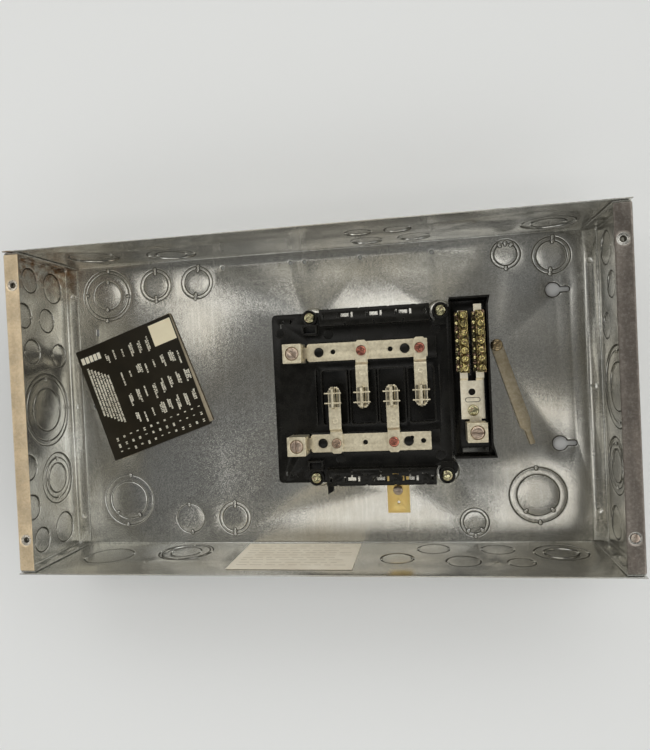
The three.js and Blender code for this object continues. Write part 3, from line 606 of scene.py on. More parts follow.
class Paint(Nodes):
    """A material with a Principled shader."""

    def __init__(self, name, metallic=0.0, roughness=0.5, specular=0.5):
        self.material = bpy.data.materials.new(name)
        self.material.use_nodes = True
        super().__init__(self.material.node_tree)
        self.shader = self.tree.nodes["Principled BSDF"]
        look = {"Metallic": metallic, "Roughness": roughness, "Specular IOR Level": specular}
        self.set(self.shader, look)
        self.place = self.add("TexCoord").outputs["Object"]

    def stretched(self, scale):
        return self.add("Mapping", Vector=self.place, Scale=scale).outputs["Vector"]

    def noise(self, scale, detail=4.0, roughness=0.6, distortion=0.0, vector=None):
        return self.add("TexNoise", Vector=vector or self.place, Scale=scale, Detail=detail,
                        Roughness=roughness, Distortion=distortion).outputs["Fac"]

    def cells(self, scale, randomness=1.0):
        made = self.add("TexVoronoi", Vector=self.place, Scale=scale, Randomness=randomness)
        return self.add("SeparateColor", Color=made.outputs["Color"]).outputs["Red"]

    def remap(self, value, low, high, to_low=0.0, to_high=1.0):
        made = self.add("MapRange", Value=value)
        self.set(made, {"From Min": low, "From Max": high, "To Min": to_low, "To Max": to_high})
        return made.outputs["Result"]

    def mix(self, share, first, second):
        made = self.add("Mix", {"data_type": "RGBA"})
        for socket, value in zip((0, 6, 7), (share, first, second)):
            self.plug(made.inputs[socket], value)
        return made.outputs[2]

    def blend(self, field, low, high, first, second):
        """The first colour where the field is low and the second where it is high."""
        return self.mix(self.remap(field, low, high), first, second)

    def over(self, metal, field, low, high, share, colour):
        """A colour laid over another, up to a share, where the field goes from low to high."""
        return self.mix(self.remap(field, low, high, 0, share), metal, colour)

    def faceted(self, cells, strength):
        """A normal that leans a little differently in each cell."""
        lean = self.vector("SUBTRACT", cells, (0.5, 0.5, 0.5))
        lean = self.vector("MULTIPLY", lean, (strength, strength, strength))
        lean = self.vector("ADD", lean, self.add("NewGeometry").outputs["Normal"])
        return self.vector("NORMALIZE", lean)

    def above(self, axis, start, end):
        """0 below one place along an axis and 1 above another, in millimetres."""
        parts = self.add("SeparateXYZ", Vector=self.place)
        return self.remap(parts.outputs[axis], start * MM, end * MM)

    def edges(self, radius, low=0.03, high=0.25):
        """1 along outer and inner edges, 0 on flat faces."""
        rounded_normal = self.add("Bevel", {"samples": 4}, Radius=radius * MM).outputs["Normal"]
        plain = self.add("NewGeometry").outputs["Normal"]
        return self.remap(self.dot(rounded_normal, plain), 1 - low, 1 - high)

    def finish(self, colour, roughness, heights=(), normal=None):
        """Sets colour and roughness, and stacks bumps of (height, strength, millimetres)."""
        self.set(self.shader, {"Base Color": colour, "Roughness": roughness})
        for height, strength, distance in heights:
            bump = self.add("Bump", Height=height, Strength=strength, Distance=distance * MM)
            if normal:
                self.tree.links.new(normal, bump.inputs["Normal"])
            normal = bump.outputs["Normal"]
        if normal:
            self.tree.links.new(normal, self.shader.inputs["Normal"])
        return self.material


def galvanised(name, lip=None, lip_metallic=0.9):
    """Zinc-coated sheet: faceted spangle, rolling marks, faint clouds and, on a lip, a mottled tint
    given for each lip.
    """
    paint = Paint(name, metallic=0.95)
    spangle = paint.add("TexVoronoi", Vector=paint.place, Scale=1400)
    tone = paint.add("SeparateColor", Color=spangle.outputs["Color"]).outputs["Red"]
    cloud = paint.noise(8, 3, 0.5, 0.4)
    stain = paint.noise(22, 4, 0.6)
    streak = paint.noise(1, 3, 0.6, vector=paint.stretched((420, 14, 420)))
    zinc = paint.mix(tone, (0.46, 0.455, 0.43), (0.71, 0.705, 0.67))
    zinc = paint.over(zinc, cloud, 0.42, 0.68, 0.5, (0.50, 0.46, 0.37))
    zinc = paint.over(zinc, stain, 0.5, 0.75, 0.4, (0.38, 0.36, 0.31))
    zinc = paint.over(zinc, streak, 0.5, 0.75, 0.25, (0.78, 0.78, 0.74))
    corner = paint.maths("MULTIPLY", paint.above("X", -236, -252), paint.above("Y", 100, 132))
    rust = paint.maths("MULTIPLY", corner, paint.remap(paint.noise(160, 5, 0.7), 0.42, 0.62))
    zinc = paint.mix(rust, zinc, (0.26, 0.14, 0.06))
    rough = paint.remap(tone, 0, 1, 0.19, 0.27)
    if lip:
        near = paint.above("Z", DEPTH - 1.5, DEPTH - 0.8)
        blotch = paint.noise(55, 6, 0.7)
        grit = paint.noise(520, 4, 0.75)
        # The lip's tint, mottled and specked; the tan given for the bottom lip is painted warm
        # reflection.
        lip_colour = paint.blend(blotch, 0.35, 0.65, lip, tuple(c * 0.7 for c in lip))
        lip_colour = paint.over(lip_colour, grit, 0.5, 0.66, 0.35, tuple(c * 0.5 for c in lip))
        lip_colour = paint.over(lip_colour, grit, 0.5, 0.36, 0.12, (0.75, 0.72, 0.66))
        zinc = paint.mix(near, zinc, lip_colour)
        rough = paint.maths("ADD", rough, paint.remap(near, 0, 1, 0.0, 0.12))
        paint.set(paint.shader, {"Metallic": paint.remap(near, 0, 1, 0.95, lip_metallic)})
    return paint.finish(zinc, rough, [(paint.noise(5, 2), 0.03, 1.0), (streak, 0.04, 0.05)],
                        paint.faceted(spangle.outputs["Color"], 0.042))


def moulding():
    """Black moulded plastic: satin, a little dusty, with a painted highlight along its edges."""
    paint = Paint("black_moulding", roughness=0.4, specular=0.22)
    dust = paint.noise(70, 6, 0.7)
    grain = paint.noise(1400, 3)
    speck = paint.noise(900, 2)
    black = paint.blend(dust, 0.4, 0.7, (0.0045, 0.004, 0.003), (0.011, 0.010, 0.0075))
    black = paint.over(black, speck, 0.74, 0.8, 0.5, (0.07, 0.06, 0.045))
    # Painted highlight: a paler colour along the edges.
    black = paint.over(black, paint.edges(0.5), 0, 1, 0.5, (0.13, 0.12, 0.105))
    rough = paint.remap(dust, 0.3, 0.7, 0.2, 0.34)
    return paint.finish(black, rough, [(grain, 0.12, 0.03), (paint.noise(40, 2), 0.15, 0.15)])


def tin(name, light, dark, tarnish):
    """Tin-plated bar: warm silver with a fine mottle, tarnished in patches, with a painted highlight
    along its edges.
    """
    paint = Paint(name, metallic=0.88)
    mottle = paint.noise(420, 5, 0.7)
    patch = paint.noise(55, 5, 0.65)
    draw = paint.noise(1, 3, 0.6, vector=paint.stretched((120, 1500, 1500)))
    metal = paint.blend(mottle, 0.35, 0.65, dark, light)
    metal = paint.over(metal, patch, 0.5, 0.72, 0.55, tarnish)
    # Painted highlight: a pale colour along the edges.
    metal = paint.over(metal, paint.edges(0.35), 0, 1, 0.45, (0.93, 0.90, 0.82))
    rough = paint.remap(mottle, 0.3, 0.7, 0.36, 0.5)
    return paint.finish(metal, rough, [(mottle, 0.12, 0.04), (draw, 0.1, 0.03), (patch, 0.1, 0.1)])


def plated(name, light, dark, stain, rough=(0.2, 0.38), blotch_scale=260):
    """A plated screw or bar: two tones of plating, a darker stain and fine turning marks."""
    paint = Paint(name, metallic=0.95)
    blotch = paint.noise(blotch_scale, 5, 0.7, 0.6)
    deep = paint.noise(blotch_scale * 1.7, 4, 0.7)
    fine = paint.noise(2600, 2)
    metal = paint.blend(blotch, 0.38, 0.62, light, dark)
    metal = paint.over(metal, deep, 0.55, 0.68, 0.85, stain)
    return paint.finish(metal, paint.remap(blotch, 0.3, 0.7, *rough),
                        [(fine, 0.15, 0.02), (deep, 0.2, 0.05)])


def chromate(name, light, dark, rough, sparkle):
    """Yellow chromate: gold, olive and pink tints that drift over a faceted, glinting plating."""
    paint = Paint(name, metallic=0.97)
    drift = paint.noise(230, 3, 0.6, 1.2)
    tint = paint.noise(390, 3, 0.6, 0.8)
    metal = paint.blend(drift, 0.38, 0.6, light, dark)
    metal = paint.over(metal, tint, 0.55, 0.66, 0.75, (0.46, 0.28, 0.22))
    metal = paint.mix(paint.remap(tint, 0.3, 0.4, 0.6, 0), metal, (0.84, 0.78, 0.46))
    cells = paint.add("TexVoronoi", Vector=paint.place, Scale=850).outputs["Color"]
    return paint.finish(metal, paint.remap(drift, 0.3, 0.7, *rough),
                        [(paint.noise(420, 2), 0.1, 0.12), (paint.noise(2600, 2), 0.1, 0.02)],
                        paint.faceted(cells, sparkle))


def gold():
    """Gold chromate on the bracket, with scratches along it and a few dark scuffs."""
    paint = Paint("gold_zinc", metallic=0.8)
    cloud = paint.noise(90, 5, 0.65)
    scratch = paint.noise(1, 4, 0.7, vector=paint.stretched((1500, 90, 1500)))
    scuff = paint.noise(1, 5, 0.75, vector=paint.stretched((500, 120, 500)))
    metal = paint.blend(cloud, 0.35, 0.65, (1.0, 0.76, 0.30), (0.97, 0.68, 0.24))
    metal = paint.over(metal, scratch, 0.62, 0.72, 0.5, (0.95, 0.84, 0.55))
    metal = paint.over(metal, scuff, 0.66, 0.74, 0.7, (0.42, 0.26, 0.10))
    return paint.finish(metal, paint.remap(cloud, 0.3, 0.7, 0.34, 0.5), [(scratch, 0.15, 0.04)])


def dull_strap():
    """The bonding strap's dull tin: tan and mottled."""
    paint = Paint("strap_tin", metallic=0.8)
    mottle = paint.noise(300, 6, 0.7)
    patch = paint.noise(60, 4, 0.6)
    metal = paint.blend(mottle, 0.35, 0.65, (0.40, 0.33, 0.22), (0.56, 0.49, 0.36))
    metal = paint.over(metal, patch, 0.5, 0.7, 0.5, (0.30, 0.24, 0.15))
    # Painted highlight: a pale colour along the strap's edges.
    metal = paint.over(metal, paint.edges(0.4), 0, 1, 0.5, (0.78, 0.70, 0.55))
    return paint.finish(metal, paint.remap(mottle, 0.3, 0.7, 0.36, 0.52), [(mottle, 0.12, 0.04)])


def card_stock(name, light, dark, roughness, speckle, specular=0.4):
    """Paper or card: fibre, a faint age stain and a slight unevenness."""
    paint = Paint(name, specular=specular)
    fibre = paint.noise(1600, 5, 0.7)
    age = paint.noise(45, 5, 0.6)
    colour = paint.blend(age, 0.35, 0.7, light, dark)
    colour = paint.over(colour, fibre, 0.55, 0.75, speckle, dark)
    return paint.finish(colour, paint.remap(fibre, 0.3, 0.7, roughness - 0.06, roughness + 0.06),
                        [(fibre, 0.15, 0.03), (age, 0.1, 0.3)])


ZINC = galvanised("galvanised")
# The tan on this lip is painted warm reflection.
ZINC_LIP_BOTTOM = galvanised("galvanised_lip_painted_warm_reflection", lip=(0.72, 0.56, 0.36), lip_metallic=0.35)
ZINC_LIP_TOP = galvanised("galvanised_brown_lip", lip=(0.21, 0.18, 0.155), lip_metallic=0.75)
# Dark fill: dirt and painted shade in the knockouts' sheared gaps; painted shade in the keyhole rims
# and open lip holes; the dark discs round the rear nibs.
DIRT_AND_SHADE = plated("shear_dirt_and_shade", (0.10, 0.09, 0.07), (0.05, 0.045, 0.035), (0.03, 0.025, 0.02), (0.5, 0.7))
BLACK = moulding()
TIN = tin("tin_plate", (0.86, 0.78, 0.59), (0.62, 0.55, 0.40), (0.50, 0.43, 0.30))
BRIGHT_TIN = tin("bright_tin_plate", (1.0, 0.94, 0.77), (0.84, 0.75, 0.58), (0.64, 0.55, 0.40))
DULL_TIN = tin("dull_tin_plate", (0.34, 0.31, 0.24), (0.17, 0.155, 0.12), (0.12, 0.10, 0.07))
CHROMATE = chromate("yellow_zinc", (0.33, 0.26, 0.10), (0.075, 0.062, 0.028), (0.1, 0.22), 0.6)
# The terminal screws' heads take a brighter copy of the bars' chromate: a painted highlight for their
# glints.
HEAD_CHROMATE = chromate("yellow_zinc_head", (0.66, 0.55, 0.22), (0.16, 0.13, 0.06), (0.1, 0.2), 0.4)
# The ledges' chromate is painted dark: painted shade on the ledge below each bar's top.
SHADED_CHROMATE = chromate("yellow_zinc_painted_shade", (0.05, 0.042, 0.02), (0.03, 0.026, 0.012), (0.3, 0.4), 0.1)
# The beads' pale chromate is a painted highlight: the glints on them.
BEAD_ZINC = chromate("yellow_zinc_painted_glint", (0.80, 0.72, 0.38), (0.60, 0.52, 0.24), (0.1, 0.2), 0.15)
SCREW_ZINC = chromate("yellow_zinc_screw", (0.62, 0.58, 0.36), (0.36, 0.34, 0.2), (0.16, 0.3), 0.12)
COPPER = plated("copper_screw", (0.66, 0.26, 0.18), (0.16, 0.05, 0.04), (0.03, 0.012, 0.01),
                (0.1, 0.22))
DULL_COPPER = plated("dull_copper_screw", (0.46, 0.34, 0.25), (0.20, 0.13, 0.09), (0.05, 0.035, 0.025),
                     (0.16, 0.32))
STEEL = plated("bright_steel", (0.60, 0.52, 0.44), (0.42, 0.33, 0.27), (0.16, 0.11, 0.08), (0.28, 0.44))
LUG_STEEL = plated("lug_screw_steel", (0.62, 0.50, 0.40), (0.38, 0.29, 0.23), (0.11, 0.08, 0.06),
                   (0.24, 0.4))
AGED_ZINC = plated("aged_screw", (0.55, 0.43, 0.26), (0.30, 0.22, 0.12), (0.08, 0.055, 0.03),
                   (0.16, 0.3))
GOLD = gold()
STRAP = dull_strap()
CARD = card_stock("printed_card", (0.013, 0.010, 0.005), (0.022, 0.017, 0.009), 0.34, 0.5, 0.25)
INK = card_stock("card_print", (0.95, 0.90, 0.76), (0.72, 0.67, 0.54), 0.7, 0.5)
CREAM = card_stock("cream_card", (1.0, 0.90, 0.66), (0.93, 0.82, 0.58), 0.75, 0.1)
# The backing card is painted darker: painted shade on the edge that shows beside the card.
BACKING = card_stock("backing_card", (0.40, 0.34, 0.24), (0.28, 0.23, 0.16), 0.75, 0.3)
PAPER = card_stock("label_paper", (0.86, 0.79, 0.66), (0.76, 0.68, 0.55), 0.7, 0.3)
LABEL_INK = card_stock("label_print", (0.62, 0.55, 0.44), (0.52, 0.45, 0.35), 0.75, 0.5)


# ------------------------------------------------------------------ enclosure

WALL_RUN = DEPTH - BEND
BEND_RUN = BEND * math.pi / 2
REAR_START = WALL_RUN + BEND_RUN
REAR_RUN = WIDTH - 2 * BEND
WRAPPER_FOLD = Fold(
    (BOX_LOW.y, BOX_HIGH.z), -90, [WALL_RUN, (90, BEND), REAR_RUN, (90, BEND), WALL_RUN],
    lambda u, across, up: (u, across, up))


def rear_v(y):
    return REAR_START + y - BOX_LOW.y - BEND


# A spot weld's mark: a soft rim round a dimple, as (radius, height)
WELD_MARK = [(3.7, 0), (3.3, 0.22), (2.8, 0.28), (2.3, 0.1), (1.8, -0.35), (1.1, -0.8)]
WALL_A_WELDS = [(-153, 62), (144, 62)]
WALL_B_WELDS = [(-153, 62), (150, 61)]
# The raised pads under the base's ears and the rear wall's round holes, as (radius, height)
PAD = [(12.6, 0), (12, 0.3), (11.4, 1.0), (10, 5.2), (9.5, 5.6), (8.8, 5.7), (2.3, 5.7)]
SCREW_HOLE = [(2.8, 0), (2.3, 0)]
ROW_HOLE = [(3.0, 0), (2.6, -0.15), (2.2, -0.5), (1.6, -1.5)]
END_HOLE, END_HOLE_X = [(3.6, 0), (3.1, -0.2)], -227
END_SLOT = (-222.7, -220.3, 69.5, 76.5, 1.1)
# Painted shade: a dark rim inside each keyhole, as its reaches inward from the edge, its lowest point
# and its thickness
KEYHOLE_SHADE = {"inward": (0.05, 0.75), "low": 0.25, "thick": 0.8}


def weld(u, v):
    return dish(u, v, WELD_MARK, closed=True)


def keyhole(x, y):
    """A round head hole with a narrow slot that runs toward +X."""
    radius, slot, reach = 7, 2.9, 12
    lean = math.asin(slot / radius)
    head = circle(x, y, radius, 40, lean, math.tau - 2 * lean)
    tip = circle(x + reach, y, slot, 14, -math.pi / 2, math.pi)
    return head + tip


def wrapper():
    """The rear wall and the two long walls, from one sheet."""
    finish = WRAPPER_FOLD.length
    top = finish - DEPTH
    outline = [(BOX_LOW.x, 0), (BOX_HIGH.x, 0), (BOX_HIGH.x, finish), (BOX_LOW.x, finish)]
    rear = [(x, rear_v(y), rings, turn) for x, y, rings, turn in REAR_KNOCKOUTS]
    walls = [(x, DEPTH - z, rings, turn) for x, z, rings, turn in LONG_WALL_B_KNOCKOUTS]
    walls += [(x, top + z, rings, turn) for x, z, rings, turn in LONG_WALL_A_KNOCKOUTS]
    works = [knockout(*spot) for spot in rear]
    works += [knockout(*spot, WALL_SUNK) for spot in walls]
    works += [weld(x, DEPTH - z) for x, z in WALL_B_WELDS]
    works += [weld(x, top + z) for x, z in WALL_A_WELDS]
    seats = [(f"base_screw_{number}", PAD) for number in range(1, 5)]
    for node, rings in seats + [("bonding_screw", SCREW_HOLE), ("bracket_screw", SCREW_HOLE)]:
        place = middle(node)
        works.append(dish(place.x, rear_v(place.y), rings))
    works += [dish(x, rear_v(ROW_Y), ROW_HOLE) for x in ROW_HOLES]
    works.append(dish(END_HOLE_X, rear_v(0), END_HOLE))
    holes = [[(u, rear_v(v)) for u, v in keyhole(x, y)] for x, y in KEYHOLES]
    holes.append([(u, rear_v(v)) for u, v in rounded(*END_SLOT)])
    shape = pressed(outline, WRAPPER_FOLD, SHEET, holes, works, edge=SHEET_EDGE)
    nibs = [ties(WRAPPER_FOLD, SHEET, *spot) for spot in rear + walls]
    dirt_and_shade = [gaps(WRAPPER_FOLD, SHEET, *spot) for spot in rear]
    dirt_and_shade += [ties(WRAPPER_FOLD, SHEET, *spot, stain) for spot in rear]
    for x, y in KEYHOLES:
        rim, bore = (drawn_in(keyhole(x, y), inward) for inward in KEYHOLE_SHADE["inward"])
        dirt_and_shade.append(pressed(rim, flat(KEYHOLE_SHADE["low"]), KEYHOLE_SHADE["thick"], [bore]))
    dirt_and_shade += [gaps(WRAPPER_FOLD, SHEET, *spot, **LONG_WALL_DIRT_AND_SHADE) for spot in walls]
    fitted("wrapper_shear_dirt_and_shade", combine(dirt_and_shade), "enclosure_body", DIRT_AND_SHADE, stands_for=False)
    fitted("wrapper_sheet", combine([shape, *nibs]), "enclosure_body", ZINC)


LIP_HOLE_Y = 109.8
LIP_DISH = [(6.1, 0), (5.6, 0.2), (5.0, 0.95), (4.4, 1.2), (3.0, 1.25), (2.6, 1.45), (2.2, 3.4)]
LIP_HOLE_SHADE = {"outer": 2.4, "bore": 1.5, "low": 4.2, "thick": 2.2}   # painted shade: a dark ring inside an open lip hole
FLANGE_WELD = 5.5                 # from a rear flange's edge to its welds
SIDE_WELD, SIDE_WELD_HEIGHTS = 6, (22, 50, 78)
FLANGE_CLEAR = 0.4                # between a side flange and the tray's two others


def end_wall(side, node, material):
    """A tray: wall, front lip and rear flange from one sheet, with a folded flange at each side."""
    low, high = span(node)
    screw_place = middle("cover_screw")
    outer = high.x if side > 0 else -low.x
    flange_edge = FLANGE - outer
    half = high.y
    lip_run = FLANGE - BEND
    wall_run = high.z - low.z - 2 * BEND
    runs = [lip_run, (90, BEND), wall_run, (90, BEND), lip_run]
    fold = Fold((flange_edge, high.z), 180, runs, lambda u, out, up: (-side * out, u, up))
    wall_top = lip_run + BEND_RUN + high.z - BEND
    spots = [(y, wall_top - z, rings, turn) for y, z, rings, turn in END_KNOCKOUTS]
    works = [knockout(*spot, WALL_SUNK) for spot in spots]
    lip_middle = flange_edge + abs(screw_place.x)
    works += [dish(y, lip_middle, LIP_DISH) for y in (LIP_HOLE_Y, -LIP_HOLE_Y)]
    works += [weld(y, fold.length - FLANGE_WELD) for y in (LIP_HOLE_Y, 0, -LIP_HOLE_Y)]
    reach = half - BEND
    outline = [(-reach, 0), (reach, 0), (reach, fold.length), (-reach, fold.length)]
    shapes = [pressed(outline, fold, SHEET, works=works, edge=SHEET_EDGE)]
    shapes += [ties(fold, SHEET, *spot) for spot in spots]
    bottom, top = low.z + SHEET + FLANGE_CLEAR, high.z - SHEET - FLANGE_CLEAR
    for end in (1, -1):
        side_fold = Fold((flange_edge, half), 180, [lip_run, (90, BEND)],
                         lambda u, out, across, e=end: (-side * out, e * across, u))
        flange = [(bottom, 0), (top, 0), (top, side_fold.length), (bottom, side_fold.length)]
        welds = [weld(z, SIDE_WELD) for z in SIDE_WELD_HEIGHTS]
        shapes.append(pressed(flange, side_fold, SHEET, works=welds, edge=SHEET_EDGE))
    fitted(f"{node}_sheet", combine(shapes), node, material)
    dirt_and_shade = [gaps(fold, SHEET, *spot, **END_WALL_DIRT_AND_SHADE) for spot in spots]
    fitted(f"{node}_shear_dirt_and_shade", combine(dirt_and_shade), node, DIRT_AND_SHADE, stands_for=False)
    shade_rings = []
    for y in (LIP_HOLE_Y, -LIP_HOLE_Y):
        if side * screw_place.x > 0 and y * screw_place.y > 0:
            continue                  # the cover screw fills this hole
        x = side * abs(screw_place.x)
        outline, bore = (circle(x, y, LIP_HOLE_SHADE[key]) for key in ("outer", "bore"))
        shade_rings.append(pressed(outline, flat(high.z - LIP_HOLE_SHADE["low"]), LIP_HOLE_SHADE["thick"], [bore]))
    fitted(f"{node}_hole_shade_rings", combine(shade_rings), node, DIRT_AND_SHADE, stands_for=False)


wrapper()
end_wall(-1, "end_wall_bottom", ZINC_LIP_BOTTOM)
end_wall(1, "end_wall_top", ZINC_LIP_TOP)


# ------------------------------------------------------------------ interior base

BASE_FLOOR = 23.0
EJECTOR_MARKS = ((110, 57), (110, -55), (-30, 60), (14.5, 57), (20.6, -56), (-10, -70))
EJECTOR_RING = [(0, -1), (4.6, -1), (4.6, 0.1), (4.3, 0.25), (3.9, 0.25), (3.6, 0.05), (0, 0.08)]
RAIL_DOT, RAIL_DOT_Y = [(0, -1), (2.4, -1), (2.4, 0.12), (2.0, 0.2), (0, 0.2)], -74.6
FILLER = {"near": 3, "far": 0.4, "inset": 4, "depth": 6, "thick": 5.4}


def base():
    """The black base: the CAD shape with rounded edges, ejector marks and a dot at each pole, and
    the dark strip that fills the gap between the base and the neutral holder."""
    low, high = span("interior_base")
    holder_low, holder_high = span("neutral_holder")
    marks = [lathe(EJECTOR_RING, (x, y, BASE_FLOOR), 36) for x, y in EJECTOR_MARKS]
    marks += [lathe(RAIL_DOT, (x, RAIL_DOT_Y, high.z), 20) for x in POLES]
    start = max(low.y, holder_low.y) + FILLER["inset"]
    end = min(high.y, holder_high.y) - FILLER["inset"]
    near, far = holder_low.x - FILLER["near"], holder_low.x + FILLER["far"]
    filler = [(near, start), (far, start), (far, end), (near, end)]
    marks.append(pressed(filler, flat(BASE_FLOOR - FILLER["depth"]), FILLER["thick"], edge=0.3))
    adopt(dressed("base_moulding", "interior_base", 0.45, 3), "interior_base", BLACK)
    fitted("base_marks", combine(marks), "interior_base", BLACK, stands_for=False)


base()


# ------------------------------------------------------------------ bus bars and stabs

TAPPED = [(2.55, 0), (2.3, -0.1), (2.2, -0.3)]     # a tapped hole, as (radius, height)
PEG_HOLE = 4.1
PEGS = (POLES[0] - POLE_PITCH / 2, POLES[2] + POLE_PITCH / 2)
TANG_LENGTH, TANG_HALF = 18.1, 5
BAR_CORNER, BAR_END_CORNER = 1.5, 0.6


def bus_bar(node, side):
    """A bar with a narrow tang under its lug; the second bar has a notch beside one peg hole."""
    low, high = span(node)
    neck = low.x + TANG_LENGTH
    y = (low.y + high.y) / 2
    corner, end = BAR_CORNER, BAR_END_CORNER
    outline = [
        (low.x, y - TANG_HALF), (neck, y - TANG_HALF), (neck, low.y + corner), (neck + corner, low.y),
        (high.x - end, low.y), (high.x, low.y + end), (high.x, high.y - end), (high.x - end, high.y),
        (neck + corner, high.y), (neck, high.y - corner), (neck, y + TANG_HALF), (low.x, y + TANG_HALF),
    ]
    works = [dish(x, y, TAPPED) for x in POLES]
    holes = [circle(peg, y, PEG_HOLE, 40) for peg in PEGS]
    if side < 0:
        head = circle(PEGS[1], y, PEG_HOLE, 40, math.radians(68), math.radians(314))
        notch = circle(PEGS[1] + 3, y + 3, 1.6, 10, math.radians(-30), math.radians(150))
        holes[1] = head + notch
    shape = pressed(outline, flat(low.z), high.z - low.z, holes, works, edge=EDGE)
    fitted(f"{node}_plated", shape, node, TIN)


def standing(x, y, along="x", across=1):
    """Stands an outline up at a place, with its thickness along an axis."""
    rows = {"x": ((0, 0, 1, x), (1, 0, 0, y)), "y": ((across, 0, 0, x), (0, 0, 1, y))}
    return Matrix((*rows[along], (0, 1, 0, 0), (0, 0, 0, 1)))


STRAP_WIDTH, STRAP_THICK, STRAP_RISE = 10.8, 1.6, 3.7
STEP_ANGLE, STEP_RADIUS = 55, 0.9
STEP_OUT = 30.8                   # from the poles' middle line to a strap's step
TIP_OUT, DIMPLE_OUT = 9.6, 20.8   # and past it to the tip, and back to the dimple
STRAP_CORNER = 2.2
# The scalloped tip, from one side of the strap: how far in, and how far from the end
TIP_STEPS = [(0, 3.4), (0.9, 2.5), (1.0, 1.4), (2.1, 0.9), (2.4, 0)]
STRAP_HOLE = [(2.6, 0), (2.4, 0)]
STRAP_DIMPLE = [(2.5, 0), (2.25, 0.28), (1.9, 0.3), (1.6, 0.12)]
BLADE_THICK = 2.0
PIN_Y, PIN_Z = 4.3, 46.3
PIN = [(0, -7.4), (0.45, -7.4), (0.65, -7.2), (0.65, 7.2), (0.45, 7.4), (0, 7.4)]
COLLAR = [(0, -1.5), (1.1, -1.5), (1.25, -1.3), (1.25, 1.3), (1.1, 1.5), (0, 1.5)]


def stab(number):
    """A stepped strap with a dimple, an upright blade beside its slot and two cross pins."""
    node = f"branch_stab_{number}"
    low, high = span(node)
    x = middle(node).x
    side = -1 if abs(low.y) > abs(high.y) else 1
    outer = high.y if side > 0 else -low.y
    turn = math.radians(STEP_ANGLE)
    ramp = (STRAP_RISE - 2 * STEP_RADIUS * (1 - math.cos(turn))) / math.sin(turn)
    ramp = max(0.4, ramp - STRAP_THICK * (1 - math.cos(turn)) / math.sin(turn))
    runs = [outer - STEP_OUT, (STEP_ANGLE, STEP_RADIUS + STRAP_THICK), ramp,
            (-STEP_ANGLE, STEP_RADIUS), 40.0]
    fold = Fold((-outer, low.z), 0, runs, lambda u, along, up: (x + u, -side * along, up))
    crest = fold.stretches[-1]
    blade_v = crest[0] - crest[2].x     # where the strap passes the poles' middle line
    tip_v = crest[0] + TIP_OUT - crest[2].x
    half = STRAP_WIDTH / 2
    corner = STRAP_CORNER
    outline = [(-half, corner), (corner - half, 0), (half - corner, 0), (half, corner)]
    outline += [(half - inward, tip_v - back) for inward, back in TIP_STEPS]
    outline += [(inward - half, tip_v - back) for inward, back in reversed(TIP_STEPS)]
    screw_v = outer - abs(middle(f"stab_screw_{number}").y)
    dimple_v = crest[0] - DIMPLE_OUT - crest[2].x
    works = [dish(0, screw_v, STRAP_HOLE), dish(0, dimple_v, STRAP_DIMPLE, closed=True)]
    slot = rounded(1.1, 2.1, blade_v - 8.2, blade_v + 8.2, 0.3, 2)
    shapes = [pressed(outline, fold, STRAP_THICK, [slot], works, edge=0.3)]
    floor, top = crest[2].y, high.z
    right = [(9.5, floor + 0.3), (9.6, top - 2.2), (8.0, top - 0.3), (5.5, top)]
    left = [(-along, up) for along, up in reversed(right)]
    blade = left[-1:] + right + left[:-1]
    shapes.append(pressed(blade, flat(0, standing(x - 1, 0)), BLADE_THICK, edge=EDGE))
    for y in (PIN_Y, -PIN_Y):
        shapes.append(lathe(PIN, (x, y, PIN_Z), 16, "x"))
        shapes.append(lathe(COLLAR, (x, y, PIN_Z), 20, "x"))
    wings = []
    for near, far in ((0.7 - half, -2.3), (2.5, half - 0.7)):
        wing = rounded(near, far, blade_v - 8.4, blade_v + 7.2, 0.7, 3)
        wings.append(pressed(wing, Lifted(fold, STRAP_THICK - 0.1), 0.45, edge=0.15))
    fitted(f"stab_{number}_plated", combine(shapes), node, TIN)
    fitted(f"stab_{number}_wings", combine(wings), node, DULL_TIN, stands_for=False)


# ------------------------------------------------------------------ screws and lugs

def slot_cutter(x, y, top, length, width, depth, angle):
    turn = Matrix.Translation((x, y, top - depth)) @ Matrix.Rotation(math.radians(angle), 4, "Z")
    outline = rounded(-length / 2, length / 2, -width / 2, width / 2, width * 0.2, 2)
    return pressed(outline, flat(0, turn), depth + 1)


def thread(shaft, bottom, top, pitch):
    """A threaded shaft's outline, from just under the head to its chamfered tip."""
    count = max(1, int((top - bottom - 1) / pitch))
    points = []
    for turn in range(count):
        z = top - 0.3 - turn * pitch
        points += [(shaft, z), (shaft * 0.86, z - pitch / 2)]
    return points + [(shaft * 0.86, bottom + 0.5), (shaft * 0.6, bottom), (0, bottom)]


SLOTTED_HEAD, CROSS_HEAD = 2.6, 2.8      # heights of heads


